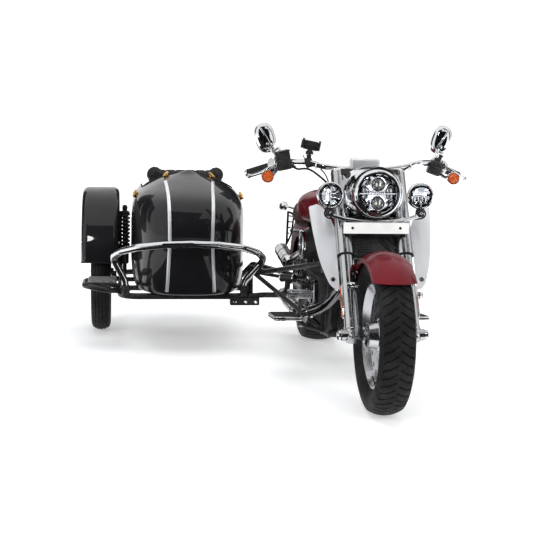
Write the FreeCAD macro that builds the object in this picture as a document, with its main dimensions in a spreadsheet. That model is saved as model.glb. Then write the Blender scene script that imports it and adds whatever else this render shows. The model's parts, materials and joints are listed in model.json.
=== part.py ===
"""Sidecar motorcycle: a heavy cruiser with a single-seat sidecar on the rider's right.

Millimetres, +Z up, -Y is the way the vehicle drives, +X is the rider's left.
Every place below is measured in the vehicle frame, which has its origin on the
ground under the front axle; at() moves it so that the model's origin is the
bottom centre of the whole vehicle.
"""
import FreeCAD, Part
import Sketcher
import math
import os
import re
from FreeCAD import Placement, Rotation, Vector

doc = FreeCAD.newDocument("SidecarMotorcycle")
sheet = doc.addObject("Spreadsheet::Sheet", "Sizes")

# Driving dimensions: name, value (millimetres or degrees)
SIZES = [
    # the shift from the front contact point to the bottom centre of the vehicle
    ("centre_left", 379.4),
    ("centre_back", 1034.5),
    # wheels
    ("wheelbase", 1635.0),
    ("front_radius", 321.0),
    ("front_width", 140.0),
    ("rear_radius", 326.0),
    ("rear_width", 200.0),
    ("side_radius", 322.0),
    ("side_width", 104.0),
    ("rim_radius", 216.0),
    ("side_rim_radius", 232.0),
    ("axle_radius", 10.0),
    ("running_gap", 0.05),
    ("front_hub_reach", 78.0),
    ("drum_radius", 60.0),
    ("disc_hole_radius", 11.0),
    ("disc_hole_ring", 172.0),
    # steering
    ("rake", 32.0),
    ("fork_offset", 45.0),
    ("fork_spacing", 248.0),
    ("slider_radius", 30.0),
    ("cover_radius", 37.0),
    ("cover_start", 352.0),
    ("fork_length", 742.0),
    ("stem_radius", 14.0),
    ("clamp_low", 430.0),
    ("clamp_high", 714.0),
    ("clamp_thickness", 28.0),
    ("head_radius", 32.0),
    ("headlamp_height", 877.0),
    ("headlamp_face", 165.0),
    ("headlamp_ring", 100.0),
    ("headlamp_lens", 82.0),
    ("nacelle_half_width", 134.0),
    ("nacelle_wall", 3.0),
    ("fog_side", 190.0),
    ("fog_height", 866.0),
    ("fog_face", 205.0),
    ("fog_radius", 57.0),
    ("bar_radius", 12.7),
    ("bar_bore_radius", 9.5),
    ("bar_bore_depth", 80.0),
    ("bar_back", 470.0),
    ("bar_height", 964.0),
    ("signal_side", 414.0),
    ("signal_back", 520.0),
    ("signal_height", 926.0),
    ("signal_radius", 28.0),
    ("mirror_width", 90.0),
    ("mirror_tall", 134.0),
    ("plate_width", 275.0),
    ("plate_tall", 45.0),
    ("plate_hole_spacing", 200.0),
    ("plate_hole_radius", 3.0),
    ("front_fender_radius", 338.0),
    ("front_fender_width", 172.0),
    ("front_fender_lip", 558.0),
    ("deflector_bend", 190.0),
    # motorcycle
    ("frame_tube", 16.0),
    ("frame_half", 112.0),
    ("engine_width", 290.0),
    ("engine_length", 430.0),
    ("engine_tall", 235.0),
    ("engine_front", 690.0),
    ("engine_low", 215.0),
    ("cylinder_radius", 64.0),
    ("cylinder_lean", 22.5),
    ("cylinder_tall", 225.0),
    ("tank_half_width", 235.0),
    ("tank_top", 864.0),
    ("seat_half_width", 212.0),
    ("seat_height", 745.0),
    ("rear_fender_radius", 356.0),
    ("rear_fender_width", 226.0),
    ("muffler_radius", 36.0),
    ("pipe_radius", 20.0),
    ("board_length", 290.0),
    ("board_width", 128.0),
    ("board_height", 262.0),
    # sidecar
    ("track", 1157.0),
    ("side_lag", 328.0),
    ("body_middle", 702.0),
    ("body_half_width", 294.0),
    ("body_nose", 1180.0),
    ("body_tail", 2390.0),
    ("body_bottom", 292.0),
    ("body_top", 893.0),
    ("body_wall", 4.0),
    ("cockpit_front", 1660.0),
    ("cockpit_back", 2230.0),
    ("side_frame_tube", 16.0),
    ("side_frame_height", 275.0),
    ("rail_left", 394.0),
    ("rail_right", 1050.0),
    ("side_fender_round", 34.0),
    ("side_fender_radius", 363.0),
    ("side_fender_width", 200.0),
    ("side_fender_lift", 100.0),
    ("hoop_tube", 17.5),
    ("strut_tube", 14.0),
]
for row, (name, value) in enumerate(SIZES, 1):
    sheet.set("A%d" % row, name)
    sheet.set("B%d" % row, str(value))
    sheet.setAlias("B%d" % row, name)
doc.recompute()

NAMES = sorted((name for name, value in SIZES), key=len, reverse=True)
WORDS = re.compile(r"\b(" + "|".join(NAMES) + r")\b")
PIECES = []


def size(name):
    """The sheet's value of a named size."""
    return float(sheet.get(name))


def bound(text):
    """An expression in the sheet's names, as the other objects write it."""
    return WORDS.sub(r"Sizes.\1", text)


def number(text):
    """The value that such an expression has now."""
    value = sheet.evalExpression(text)
    return float(getattr(value, "Value", value))


SHIFT = Vector(size("centre_left"), -size("centre_back"), 0)
RAKE = math.radians(size("rake"))
FORK_UP = Vector(0, math.sin(RAKE), math.cos(RAKE))
FORK_FORWARD = Vector(0, -math.cos(RAKE), math.sin(RAKE))
FRONT_AXLE = Vector(0, 0, size("front_radius"))
REAR_AXLE = Vector(0, size("wheelbase"), size("rear_radius"))
SIDE_AXLE = Vector(-size("track"), size("wheelbase") + size("side_lag"), size("side_radius"))
X_AXIS = Vector(1, 0, 0)
Y_AXIS = Vector(0, 1, 0)
Z_AXIS = Vector(0, 0, 1)


def at(x, y, z, rotation=None):
    """A placement in the vehicle frame, with the model's shift added."""
    return Placement(Vector(x, y, z) + SHIFT, rotation or Rotation())


def on_fork(x, up, forward=0.0):
    """A point beside the fork line: across, up along it and ahead of it."""
    return FRONT_AXLE + X_AXIS * x + FORK_UP * up + FORK_FORWARD * forward


def keep(piece, label):
    """Names a finished sub-part and puts it on the list that is written."""
    piece.Label = label
    PIECES.append(piece)
    return piece


# ---- free shapes, made in the vehicle frame -------------------------------------


def feature(label, shape, around=()):
    """A sub-part whose shape was made in the vehicle frame, cut to fit around others."""
    if around:
        doc.recompute()
    for name in around:
        other = doc.getObject(name).Shape.copy()
        other.translate(-SHIFT)
        shape = shape.cut(other)
    piece = doc.addObject("Part::Feature", label)
    piece.Shape = shape
    piece.Placement = at(0, 0, 0).multiply(shape.Placement)
    return keep(piece, label)


def joined(*shapes):
    """Several shapes as one solid, with the seams taken out."""
    return shapes[0].fuse(list(shapes[1:])).removeSplitter()


def rod(start, end, radius):
    """A round bar between two points."""
    start = Vector(start)
    run = Vector(end) - start
    return Part.makeCylinder(radius, run.Length, start, run)


def block(low, high):
    """A box between two corners."""
    low = Vector(low)
    run = Vector(high) - low
    return Part.makeBox(run.x, run.y, run.z, low)


def bent_line(points, bend):
    """Straight runs through the points, joined by tangent arcs."""
    points = [Vector(p) for p in points]
    edges = []
    start = points[0]
    for before, corner, after in zip(points, points[1:], points[2:]):
        into = (before - corner).normalize()
        away = (after - corner).normalize()
        half = into.getAngle(away) / 2
        longest = 0.45 * min((before - corner).Length, (after - corner).Length)
        cut = min(bend / math.tan(half), longest)
        radius = cut * math.tan(half)
        first = corner + into * cut
        last = corner + away * cut
        inward = (into + away).normalize()
        middle = corner + inward * (radius / math.sin(half) - radius)
        if (first - start).Length > 1e-6:
            edges.append(Part.LineSegment(start, first).toShape())
        edges.append(Part.Arc(first, middle, last).toShape())
        start = last
    edges.append(Part.LineSegment(start, points[-1]).toShape())
    return Part.Wire(edges)


def tube(points, radius, bend=60.0):
    """A bent round tube as a solid."""
    path = bent_line(points, bend)
    first = path.Edges[0]
    start = first.valueAt(first.FirstParameter)
    if (start - Vector(points[0])).Length > 1e-3:
        start = first.valueAt(first.LastParameter)
    ring = Part.Wire([Part.Circle(start, Vector(points[1]) - Vector(points[0]), radius).toShape()])
    return path.makePipeShell([ring], True, False)


def both_sides(shape):
    """The shape and its mirror image across the motorcycle's middle plane."""
    return [shape, shape.mirror(Vector(0, 0, 0), X_AXIS)]


def oval(across, back, height, half_across, half_tall, power=2.5, steps=24):
    """A closed spline round a superellipse, square to the driving direction."""
    ring = []
    for step in range(steps):
        turn = 2 * math.pi * step / steps
        cos, sin = math.cos(turn), math.sin(turn)
        x = half_across * math.copysign(abs(cos) ** (2 / power), cos)
        z = half_tall * math.copysign(abs(sin) ** (2 / power), sin)
        ring.append(Vector(across + x, back, height + z))
    curve = Part.BSplineCurve()
    curve.interpolate(ring, PeriodicFlag=True)
    return Part.Wire([curve.toShape()])


def loft(sections, **form):
    """A solid through ovals: rows of back, across, height, half across, half tall."""
    rings = [oval(across, back, height, wide, tall, **form)
             for back, across, height, wide, tall in sections]
    return Part.makeLoft(rings, True)


def plan_oval(across, back, height, half_across, half_long, power=3.0, steps=28):
    """A closed spline round a superellipse that lies flat, for stacking upwards."""
    ring = []
    for step in range(steps):
        turn = 2 * math.pi * step / steps
        cos, sin = math.cos(turn), math.sin(turn)
        x = half_across * math.copysign(abs(cos) ** (2 / power), cos)
        y = half_long * math.copysign(abs(sin) ** (2 / power), sin)
        ring.append(Vector(across + x, back + y, height))
    curve = Part.BSplineCurve()
    curve.interpolate(ring, PeriodicFlag=True)
    return Part.Wire([curve.toShape()])


def turned(outline, centre, axis, degrees=360.0):
    """A closed outline swung round an axis."""
    return Part.Face(outline).revolve(centre, axis, degrees)


# ---- parametric pieces ----------------------------------------------------------


def new_body(name, placement):
    """An empty PartDesign body."""
    body = doc.addObject("PartDesign::Body", name)
    body.Placement = placement
    return body


def plane_of(body, role):
    """One of the body's own origin planes."""
    for item in body.Origin.OriginFeatures:
        if item.Role == role:
            return item
    raise ValueError(role)


def outline_sketch(body, name, role, corners, arcs=None):
    """A closed outline with every corner bound to the sheet.

    corners are (across, up) expressions; arcs maps an edge's number to the
    expressions of a point that its arc passes through.
    """
    arcs = arcs or {}
    sketch = body.newObject("Sketcher::SketchObject", name)
    sketch.AttachmentSupport = [(plane_of(body, role), "")]
    sketch.MapMode = "FlatFace"
    spots = [Vector(number(u), number(v), 0) for u, v in corners]
    ends = []
    for index, start in enumerate(spots):
        stop = spots[(index + 1) % len(spots)]
        if index in arcs:
            through = Vector(number(arcs[index][0]), number(arcs[index][1]), 0)
            edge = sketch.addGeometry(Part.Arc(start, through, stop), False)
            forward = (sketch.getPoint(edge, 1) - start).Length < 1e-6
            ends.append((edge, 1, 2) if forward else (edge, 2, 1))
            mark = sketch.addGeometry(Part.Point(through), True)
            sketch.addConstraint(Sketcher.Constraint("PointOnObject", mark, 1, edge))
            pin_point(sketch, mark, 1, arcs[index])
        else:
            edge = sketch.addGeometry(Part.LineSegment(start, stop), False)
            ends.append((edge, 1, 2))
    for index, (edge, first, last) in enumerate(ends):
        following = ends[(index + 1) % len(ends)]
        sketch.addConstraint(Sketcher.Constraint("Coincident", edge, last, following[0], following[1]))
        pin_point(sketch, edge, first, corners[index])
    return sketch


def pin_point(sketch, edge, end, place):
    """Ties one point of a sketch to two expressions."""
    for direction, axis, text in (("DistanceX", -2, place[0]), ("DistanceY", -1, place[1])):
        if text == "0":
            sketch.addConstraint(Sketcher.Constraint("PointOnObject", edge, end, axis))
        else:
            number_of = sketch.addConstraint(
                Sketcher.Constraint(direction, -1, 1, edge, end, number(text)))
            sketch.setExpression("Constraints[%d]" % number_of, bound(text))


def revolved(body, sketch, axis):
    """The sketch swung round its own horizontal or vertical axis."""
    turn = body.newObject("PartDesign::Revolution", body.Name + "Turn")
    turn.Profile = sketch
    turn.ReferenceAxis = (sketch, [axis])
    turn.Angle = 360.0
    body.Tip = turn
    return turn


def padded(body, sketch, length):
    """The sketch pushed out to both sides by half the length."""
    pad = body.newObject("PartDesign::Pad", body.Name + "Pad")
    pad.Profile = sketch
    pad.setExpression("Length", bound(length))
    pad.Midplane = True
    body.Tip = pad
    return pad


# A wheel turns about X; its body is built about its own centre on the XY plane,
# across is X and up is the radius.


def tyre(label, radius, width, rim, centre):
    """A tyre: a crown arc, two rounded sidewalls and the bead seat."""
    body = new_body(label, at(centre.x, centre.y, centre.z))
    corners = [("-0.64 * %s / 2" % width, rim), ("-0.86 * %s / 2" % width, "%s - 17" % radius),
               ("0.86 * %s / 2" % width, "%s - 17" % radius), ("0.64 * %s / 2" % width, rim)]
    middle = "(%s + %s) / 2 + 2" % (radius, rim)
    arcs = {0: ("-%s / 2" % width, middle), 1: ("0", radius), 2: ("%s / 2" % width, middle)}
    sketch = outline_sketch(body, label + "Section", "XY_Plane", corners, arcs)
    revolved(body, sketch, "H_Axis")
    return keep(body, label)


def disc_rim(label, width, hub, drum, reach, centre, holes):
    """A cast disc wheel: barrel, dished disc, hub, drum cover and a ring of round holes."""
    body = new_body(label, at(centre.x, centre.y, centre.z))
    seat = "0.64 * %s / 2" % width
    bore = "axle_radius + running_gap"
    corners = [("-" + reach, bore), (reach, bore), (reach, hub), ("24", hub + " + 6"),
               ("12", hub + " + 60"), ("12", "rim_radius - 22"), (seat, "rim_radius - 10"),
               (seat, "rim_radius"), ("-" + seat, "rim_radius"), ("-" + seat, "rim_radius - 10"),
               ("-12", "rim_radius - 22"), ("-12", drum + " + 42"), ("-20", drum + " + 8"),
               ("-28", drum), ("-62", drum + " * 0.78"), ("-64", drum + " * 0.86"),
               ("-72", drum + " * 0.86"), ("-" + reach, hub)]
    sketch = outline_sketch(body, label + "Section", "XY_Plane", corners)
    revolved(body, sketch, "H_Axis")
    ring = body.newObject("Sketcher::SketchObject", label + "Hole")
    ring.AttachmentSupport = [(plane_of(body, "YZ_Plane"), "")]
    ring.MapMode = "FlatFace"
    place = Vector(size("disc_hole_ring"), 0, 0)
    circle = ring.addGeometry(Part.Circle(place, Z_AXIS, size("disc_hole_radius")), False)
    pin_point(ring, circle, 3, ("disc_hole_ring", "0"))
    girth = ring.addConstraint(Sketcher.Constraint("Radius", circle, size("disc_hole_radius")))
    ring.setExpression("Constraints[%d]" % girth, bound("disc_hole_radius"))
    pocket = body.newObject("PartDesign::Pocket", label + "Pocket")
    pocket.Profile = ring
    pocket.Type = 1
    pocket.Midplane = True
    doc.recompute()
    pattern = body.newObject("PartDesign::PolarPattern", label + "Pattern")
    pattern.Originals = [pocket]
    pattern.Axis = (ring, ["N_Axis"])
    pattern.Angle = 360.0
    pattern.Occurrences = holes
    body.Tip = pattern
    return keep(body, label)


def spoke_rim(label, centre, spokes):
    """The sidecar wheel: a shallow rim, a hub with two flanges and crossed spokes."""
    seat = 0.64 * size("side_width") / 2
    rim = size("side_rim_radius")
    bore = size("axle_radius") + size("running_gap")
    outline = Part.makePolygon([Vector(-seat, 0, rim - 9), Vector(-seat, 0, rim), Vector(seat, 0, rim),
                                Vector(seat, 0, rim - 9), Vector(seat - 9, 0, rim - 9),
                                Vector(seat - 14, 0, rim - 20), Vector(14 - seat, 0, rim - 20),
                                Vector(9 - seat, 0, rim - 9), Vector(-seat, 0, rim - 9)])
    hub = Part.makePolygon([Vector(-46, 0, bore), Vector(46, 0, bore), Vector(46, 0, 24),
                            Vector(36, 0, 24), Vector(36, 0, 42), Vector(30, 0, 42),
                            Vector(24, 0, 27), Vector(-24, 0, 27), Vector(-30, 0, 42),
                            Vector(-36, 0, 42), Vector(-36, 0, 24), Vector(-46, 0, 24),
                            Vector(-46, 0, bore)])
    pieces = [turned(outline, Vector(0, 0, 0), X_AXIS), turned(hub, Vector(0, 0, 0), X_AXIS)]
    for index in range(spokes):
        side = 33 if index % 2 else -33
        turn = 2 * math.pi * index / spokes
        lean = turn + math.radians(28 if index % 4 < 2 else -28)
        start = Vector(side, 36 * math.cos(lean), 36 * math.sin(lean))
        end = Vector(0, (rim - 12) * math.cos(turn), (rim - 12) * math.sin(turn))
        pieces.append(rod(start, end, 2.6))
    wheel = joined(*pieces)
    wheel.translate(centre)
    return feature(label, wheel)


def make_wheels():
    """Tyres and rims of all three wheels."""
    tyre("front_tyre", "front_radius", "front_width", "rim_radius", FRONT_AXLE)
    tyre("rear_tyre", "rear_radius", "rear_width", "rim_radius", REAR_AXLE)
    tyre("sidecar_tyre", "side_radius", "side_width", "side_rim_radius", SIDE_AXLE)
    disc_rim("front_rim", "front_width", "34", "drum_radius", "front_hub_reach", FRONT_AXLE, 20)
    disc_rim("rear_rim", "rear_width", "40", "drum_radius", "98", REAR_AXLE, 20)
    spoke_rim("sidecar_rim", SIDE_AXLE, 32)


# ---- steering -------------------------------------------------------------------


def make_fork():
    """Two fork legs, the axle between them, both clamps and the stem."""
    half = size("fork_spacing") / 2
    slider = size("slider_radius")
    cover = size("cover_radius")
    for label, side in (("fork_left", half), ("fork_right", -half)):
        leg = rod(on_fork(side, -26), on_fork(side, size("cover_start")), slider)
        cap = rod(FRONT_AXLE + X_AXIS * side, FRONT_AXLE + X_AXIS * math.copysign(half + 60, side), 19)
        upper = rod(on_fork(side, size("cover_start")), on_fork(side, size("fork_length")), cover)
        inner = math.copysign(size("front_hub_reach") + 1, side)
        boss = rod(FRONT_AXLE + X_AXIS * inner, FRONT_AXLE + X_AXIS * (side + inner * 0.56), 24)
        shaft = rod(FRONT_AXLE - X_AXIS * (half + 55), FRONT_AXLE + X_AXIS * (half + 55), size("axle_radius"))
        shape = joined(leg, upper, boss, cap)
        feature(label, joined(shape, shaft) if side > 0 else shape.cut(shaft))
    plates = []
    for low in (size("clamp_low"), size("clamp_high")):
        plate = Part.makeBox(2 * half, 116, size("clamp_thickness"), Vector(-half, -38, low))
        plate.rotate(Vector(0, 0, 0), X_AXIS, -size("rake"))
        plate.translate(FRONT_AXLE)
        plates.append(plate)
    stem = rod(on_fork(0, size("clamp_low"), -size("fork_offset")),
               on_fork(0, size("clamp_high"), -size("fork_offset")), size("stem_radius"))
    back = size("bar_back")
    height = size("bar_height")
    rise = (height - on_fork(0, size("clamp_high"), -size("fork_offset")).z) / FORK_UP.z
    posts = [rod(on_fork(x, size("clamp_high"), -size("fork_offset")),
                 on_fork(x, size("clamp_high") + rise, -size("fork_offset")), 15) for x in (-42, 42)]
    riser = block((-62, back - 30, height - 21), (62, back + 30, height + 43))
    riser = riser.makeFillet(8, [e for e in riser.Edges if e.BoundBox.ZMin > height])
    bar_hole = rod((-80, back, height), (80, back, height), size("bar_radius") + 0.15)
    clamps = joined(plates[0], plates[1], stem, riser, *posts).cut(bar_hole)
    for side in (half, -half):
        clamps = clamps.cut(rod(on_fork(side, -20), on_fork(side, 900), cover + 0.2))
    feature("triple_clamp", clamps)


def make_front_lights():
    """Nacelle, headlamp, fog lamps on their curved bar, and the blank plate."""
    height = size("headlamp_height")
    face = size("headlamp_face")
    wide = size("nacelle_half_width")
    wall = size("nacelle_wall")
    ring = size("headlamp_ring")
    sections = [(face + 32, 0, height, ring + 3, ring + 3), (face + 76, 0, height - 6, 122, 114),
                (face + 120, 0, height - 13, wide - 6, 122), (face + 160, 0, height - 14, wide, 122)]
    inner = [(back + (3 if row == 3 else -3 if row == 0 else 0), x, z, a - wall, b - wall)
             for row, (back, x, z, a, b) in enumerate(sections)]
    shell = loft(sections, power=2.2).cut(loft(inner, power=2.2))
    half = size("fork_spacing") / 2
    for side in (half, -half):
        shell = shell.cut(rod(on_fork(side, 300), on_fork(side, 900), size("cover_radius") + 0.3))
    offset = size("fork_offset")
    swing = rod(on_fork(0, 200, -offset), on_fork(0, 900, -offset), size("head_radius") + 8)
    feature("headlamp_nacelle", shell.cut(swing), around=("triple_clamp", "fork_left", "fork_right"))

    lamp = new_body("headlamp", at(0, face, height))
    corners = [("0", "-8"), ("headlamp_lens", "0"), ("headlamp_ring", "6"),
               ("headlamp_ring", "31.5"), ("headlamp_ring - 6", "38"),
               ("headlamp_ring - 40", "96"), ("0", "104")]
    arcs = {0: ("headlamp_lens / 2", "-5.9")}
    sketch = outline_sketch(lamp, "headlamp_section", "XY_Plane", corners, arcs)
    revolved(lamp, sketch, "V_Axis")
    keep(lamp, "headlamp")

    for label, side in (("fog_lamp_left", 1), ("fog_lamp_right", -1)):
        fog = new_body(label, at(side * size("fog_side"), size("fog_face"), size("fog_height")))
        corners = [("0", "-5"), ("fog_radius - 8", "0"), ("fog_radius", "5"), ("fog_radius", "18"),
                   ("fog_radius - 5", "26"), ("8", "84"), ("0", "84")]
        arcs = {0: ("(fog_radius - 8) / 2", "-3.7"), 4: ("fog_radius * 0.66", "62")}
        sketch = outline_sketch(fog, label + "_section", "XY_Plane", corners, arcs)
        revolved(fog, sketch, "V_Axis")
        keep(fog, label)

    side = size("fog_side")
    low = size("fog_height") - size("fog_radius")
    back = size("fog_face") + 11
    half_bar = [(side, back + 4, low + 22), (side - 2, back, low - 24), (side - 60, back - 12, low - 40),
                (62, back - 23.2, low - 49)]
    bar = tube(half_bar + [(-x, y, z) for x, y, z in reversed(half_bar)], 9, 90)
    arm = rod((0, back - 22, low - 50), on_fork(0, size("clamp_low") + 12, 38), 9)
    knuckles = both_sides(rod((side, back + 3, low - 26), (side, back + 4, low - 2), 15))
    feature("light_bar", joined(bar, arm, *knuckles),
            around=("fog_lamp_left", "fog_lamp_right", "triple_clamp"))

    plate = new_body("number_plate", at(0, back - 34.2, low - 74))
    wide = "plate_width / 2"
    tall = "plate_tall / 2"
    corners = [("-" + wide, "-" + tall), (wide, "-" + tall), (wide, tall), ("-" + wide, tall)]
    sketch = outline_sketch(plate, "plate_outline", "XZ_Plane", corners)
    for side, reach in ((1, "plate_hole_spacing / 2"), (-1, "-plate_hole_spacing / 2")):
        spot = Vector(side * size("plate_hole_spacing") / 2, 0, 0)
        circle = sketch.addGeometry(Part.Circle(spot, Z_AXIS, size("plate_hole_radius")), False)
        pin_point(sketch, circle, 3, (reach, "0"))
        girth = sketch.addConstraint(Sketcher.Constraint("Radius", circle, size("plate_hole_radius")))
        sketch.setExpression("Constraints[%d]" % girth, bound("plate_hole_radius"))
    padded(plate, sketch, "4")
    keep(plate, "number_plate")


def make_controls():
    """Handlebar, riser, levers, mirrors, turn signals and the phone holder."""
    back = size("bar_back")
    height = size("bar_height")
    radius = size("bar_radius")
    half_bar = [(95, back, height), (175, back + 12, height + 9), (250, back + 42, height + 28),
                (330, back + 105, height + 26), (489.4, back + 245, height - 36)]
    points = [(-x, y, z) for x, y, z in reversed(half_bar)] + half_bar
    grip = Vector(*half_bar[4]) - Vector(*half_bar[3])
    grip.normalize()
    end = Vector(*half_bar[4])
    bores = both_sides(rod(end - grip * size("bar_bore_depth"), end + grip * 20, size("bar_bore_radius")))
    feature("handlebar", tube(points, radius, 70).cut(bores[0]).cut(bores[1]))

    for name, side in (("left", 1), ("right", -1)):
        start = Vector(*half_bar[3]) + grip * 14
        housing = Part.makeCylinder(32, 62, start, grip)
        perch = rod(start + grip * 44, start + grip * 44 + Vector(6, -62, 4), 11)
        tip = Vector(size("signal_side") + 73, back + 130, height - 42)
        blade = tube([start + grip * 44 + Vector(6, -60, 4), (signal_x(1.02), back + 72, height - 18),
                      tip], 6, 80)
        ball = Part.makeSphere(9, tip)
        hole = rod(start - grip * 60, start + grip * 220, radius + 0.15)
        shape = joined(housing, perch, blade, ball).cut(hole)
        if side < 0:
            shape = shape.mirror(Vector(0, 0, 0), X_AXIS)
        feature("lever_" + name, shape)

        root = start + grip * 16 + Vector(0, 0, 30)
        head = Vector(405, back + 250, height + 124)
        stem = tube([root, root + Vector(4, 10, 40), head + Vector(-30, -22, -64), head + Vector(-8, -18, -26)],
                    5, 24)
        wide = size("mirror_width") / 2
        tall = size("mirror_tall") / 2
        shell = loft([(-24, 0, -4, wide * 0.42, tall * 0.5), (-19, 0, -3, wide * 0.74, tall * 0.78),
                      (-9, 0, -1, wide * 0.94, tall * 0.95), (2, 0, 0, wide, tall),
                      (8, 0, 0, wide, tall)], power=2.4)
        shell.rotate(Vector(0, 0, 0), Y_AXIS, 17)
        shell.translate(head)
        shape = joined(stem, shell)
        if side < 0:
            shape = shape.mirror(Vector(0, 0, 0), X_AXIS)
        feature("mirror_" + name, shape, around=("lever_" + name, "handlebar"))

        x = size("signal_side")
        y = size("signal_back")
        z = size("signal_height")
        lens = size("signal_radius")
        bullet = joined(Part.makeCylinder(lens, 26, Vector(x, y, z), Y_AXIS),
                        Part.makeCone(lens, 13, 40, Vector(x, y + 26, z), Y_AXIS))
        mount = start + grip * 30 + Vector(0, 0, -31)
        stalk = tube([(x, y + 40, z), (x - 42, y + 46, z + 2), mount + Vector(0, 0, -3)], 6, 20)
        shape = joined(bullet, stalk)
        if side < 0:
            shape = shape.mirror(Vector(0, 0, 0), X_AXIS)
        feature("turn_signal_" + name, shape, around=("lever_" + name, "handlebar"))

    clamp = Vector(-238, back + 37, height + 25)
    cradle = block(clamp + Vector(-32, -6, 44), clamp + Vector(44, 18, 100))
    cradle = cradle.makeFillet(7, cradle.Edges)
    hold = joined(rod(clamp + Vector(-13, 0, -4), clamp + Vector(13, 0, 4), 22),
                  rod(clamp + Vector(0, 0, 16), clamp + Vector(4, 4, 56), 8), cradle)
    feature("phone_holder", hold.cut(tube(points, radius + 0.2, 70)))


def signal_x(part):
    """A share of the turn signal's distance from the middle."""
    return size("signal_side") * part


def make_front_covers():
    """Front fender with its stays, and the two leg deflectors."""
    radius = size("front_fender_radius")
    half = size("front_fender_width") / 2
    skin = 3.0

    def section(out, wide):
        low = radius - 48
        return [Vector(-wide, 0, low), Vector(-wide, 0, out - 30), Vector(0, 0, out),
                Vector(wide, 0, out - 30), Vector(wide, 0, low)]

    outer = section(radius, half)
    inner = section(radius - skin, half - skin)
    shell = [Part.LineSegment(outer[0], outer[1]).toShape(),
             Part.Arc(outer[1], outer[2], outer[3]).toShape(),
             Part.LineSegment(outer[3], outer[4]).toShape(),
             Part.LineSegment(outer[4], inner[4]).toShape(),
             Part.LineSegment(inner[4], inner[3]).toShape(),
             Part.Arc(inner[3], inner[2], inner[1]).toShape(),
             Part.LineSegment(inner[1], inner[0]).toShape(),
             Part.LineSegment(inner[0], outer[0]).toShape()]
    cover = turned(Part.Wire(shell), Vector(0, 0, 0), X_AXIS, -125)
    cover.rotate(Vector(0, 0, 0), X_AXIS, 50)
    cover.translate(FRONT_AXLE)
    lip = size("front_fender_lip")
    cover = cover.cut(block((-half - 20, -size("front_fender_radius") - 20, 0), (half + 20, 0, lip)))
    gap = size("fork_spacing") / 2 - size("slider_radius")
    stays = []
    for side in (1, -1):
        low = on_fork(side * (half - 1), radius - 40)
        high = on_fork(side * (gap + 3), radius - 40)
        stays.append(rod(low, high, 14))
    fork = joined(*both_sides(rod(on_fork(size("fork_spacing") / 2, -20),
                                  on_fork(size("fork_spacing") / 2, 900), size("slider_radius") + 0.2)))
    feature("front_fender", joined(cover, *stays).cut(fork))

    edge = size("fork_spacing") / 2 + size("cover_radius") + 0.2
    bend = size("deflector_bend")
    for label, side in (("leg_deflector_left", 1), ("leg_deflector_right", -1)):
        foot = Vector(edge, 0, 204)
        outer = [Vector(edge + out, 0, up) for out, up in (
            (12, 200), (34, 220), (54, 276), (72, 346), (86, 450), (95, 545), (97, 592))]
        notch = [Vector(edge + out, 0, up) for out, up in ((66, 598), (30, 556), (8, 500), (0, 470))]
        side_curve = Part.BSplineCurve()
        side_curve.interpolate(outer)
        lamp_curve = Part.BSplineCurve()
        lamp_curve.interpolate(notch)
        face = Part.Face(Part.Wire([Part.LineSegment(foot, outer[0]).toShape(), side_curve.toShape(),
                                    Part.LineSegment(outer[-1], notch[0]).toShape(), lamp_curve.toShape(),
                                    Part.LineSegment(notch[-1], foot).toShape()]))
        sheet_roll = Part.makeCylinder(bend, 800, Vector(edge, bend, 0)).cut(
            Part.makeCylinder(bend - 3, 800, Vector(edge, bend, 0)))
        panel = face.extrude(Vector(0, bend * 0.6, 0)).common(sheet_roll)
        panel.rotate(Vector(0, 0, 0), X_AXIS, -size("rake"))
        panel.translate(FRONT_AXLE)
        if side < 0:
            panel = panel.mirror(Vector(0, 0, 0), X_AXIS)
        feature(label, panel)


# ---- motorcycle -----------------------------------------------------------------


def make_frame():
    """Backbone, head tube, cradle and rear rails as one welded frame."""
    radius = size("frame_tube")
    half = size("frame_half")
    offset = size("fork_offset")
    low = on_fork(0, size("clamp_low") + size("clamp_thickness") + 6, -offset)
    high = on_fork(0, size("clamp_high") - 6, -offset)
    head = rod(low, high, size("head_radius"))
    bore = rod(low - FORK_UP * 9, high + FORK_UP * 9, size("stem_radius") + size("running_gap"))
    neck = on_fork(0, size("clamp_low") + 140, -offset)
    spine = tube([neck, (0, 560, 742), (0, 1020, 716), (0, 1180, 640)], 24, 120)
    side = size("rear_fender_width") / 2 + 10.1
    cradle = tube([neck - FORK_UP * 66 + Vector(20, 12, 0), (half, 560, 560), (half, 650, 208),
                   (half, 1180, 192), (half, 1196, 400), (half, 1180, 640)], radius, 60)
    tail = REAR_AXLE.y
    rail = tube([(half, 1180, 640), (side, tail - 275, 604), (side, tail + 195, 566)], 10, 90)
    cross = [rod((-half, 1180, 640), (half, 1180, 640), radius),
             rod((-half, 1180, 196), (half, 1180, 196), radius),
             rod((-half, 652, 206), (half, 652, 206), radius)]
    sides = both_sides(cradle) + both_sides(rail)
    pivot = rod((-half, 1197, 330), (half, 1197, 330), 20)
    stand_pin = rod((half, 790, 196), (half + 42, 790, 196), 8)
    floor = size("engine_low") + 32
    lugs = [block((side - 16, back, 190), (side + 16, back + 44, floor))
            for side in (-half, half) for back in (720, 1080)]
    feature("main_frame", joined(head, spine, pivot, stand_pin, *lugs, *sides, *cross).cut(bore))


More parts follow.
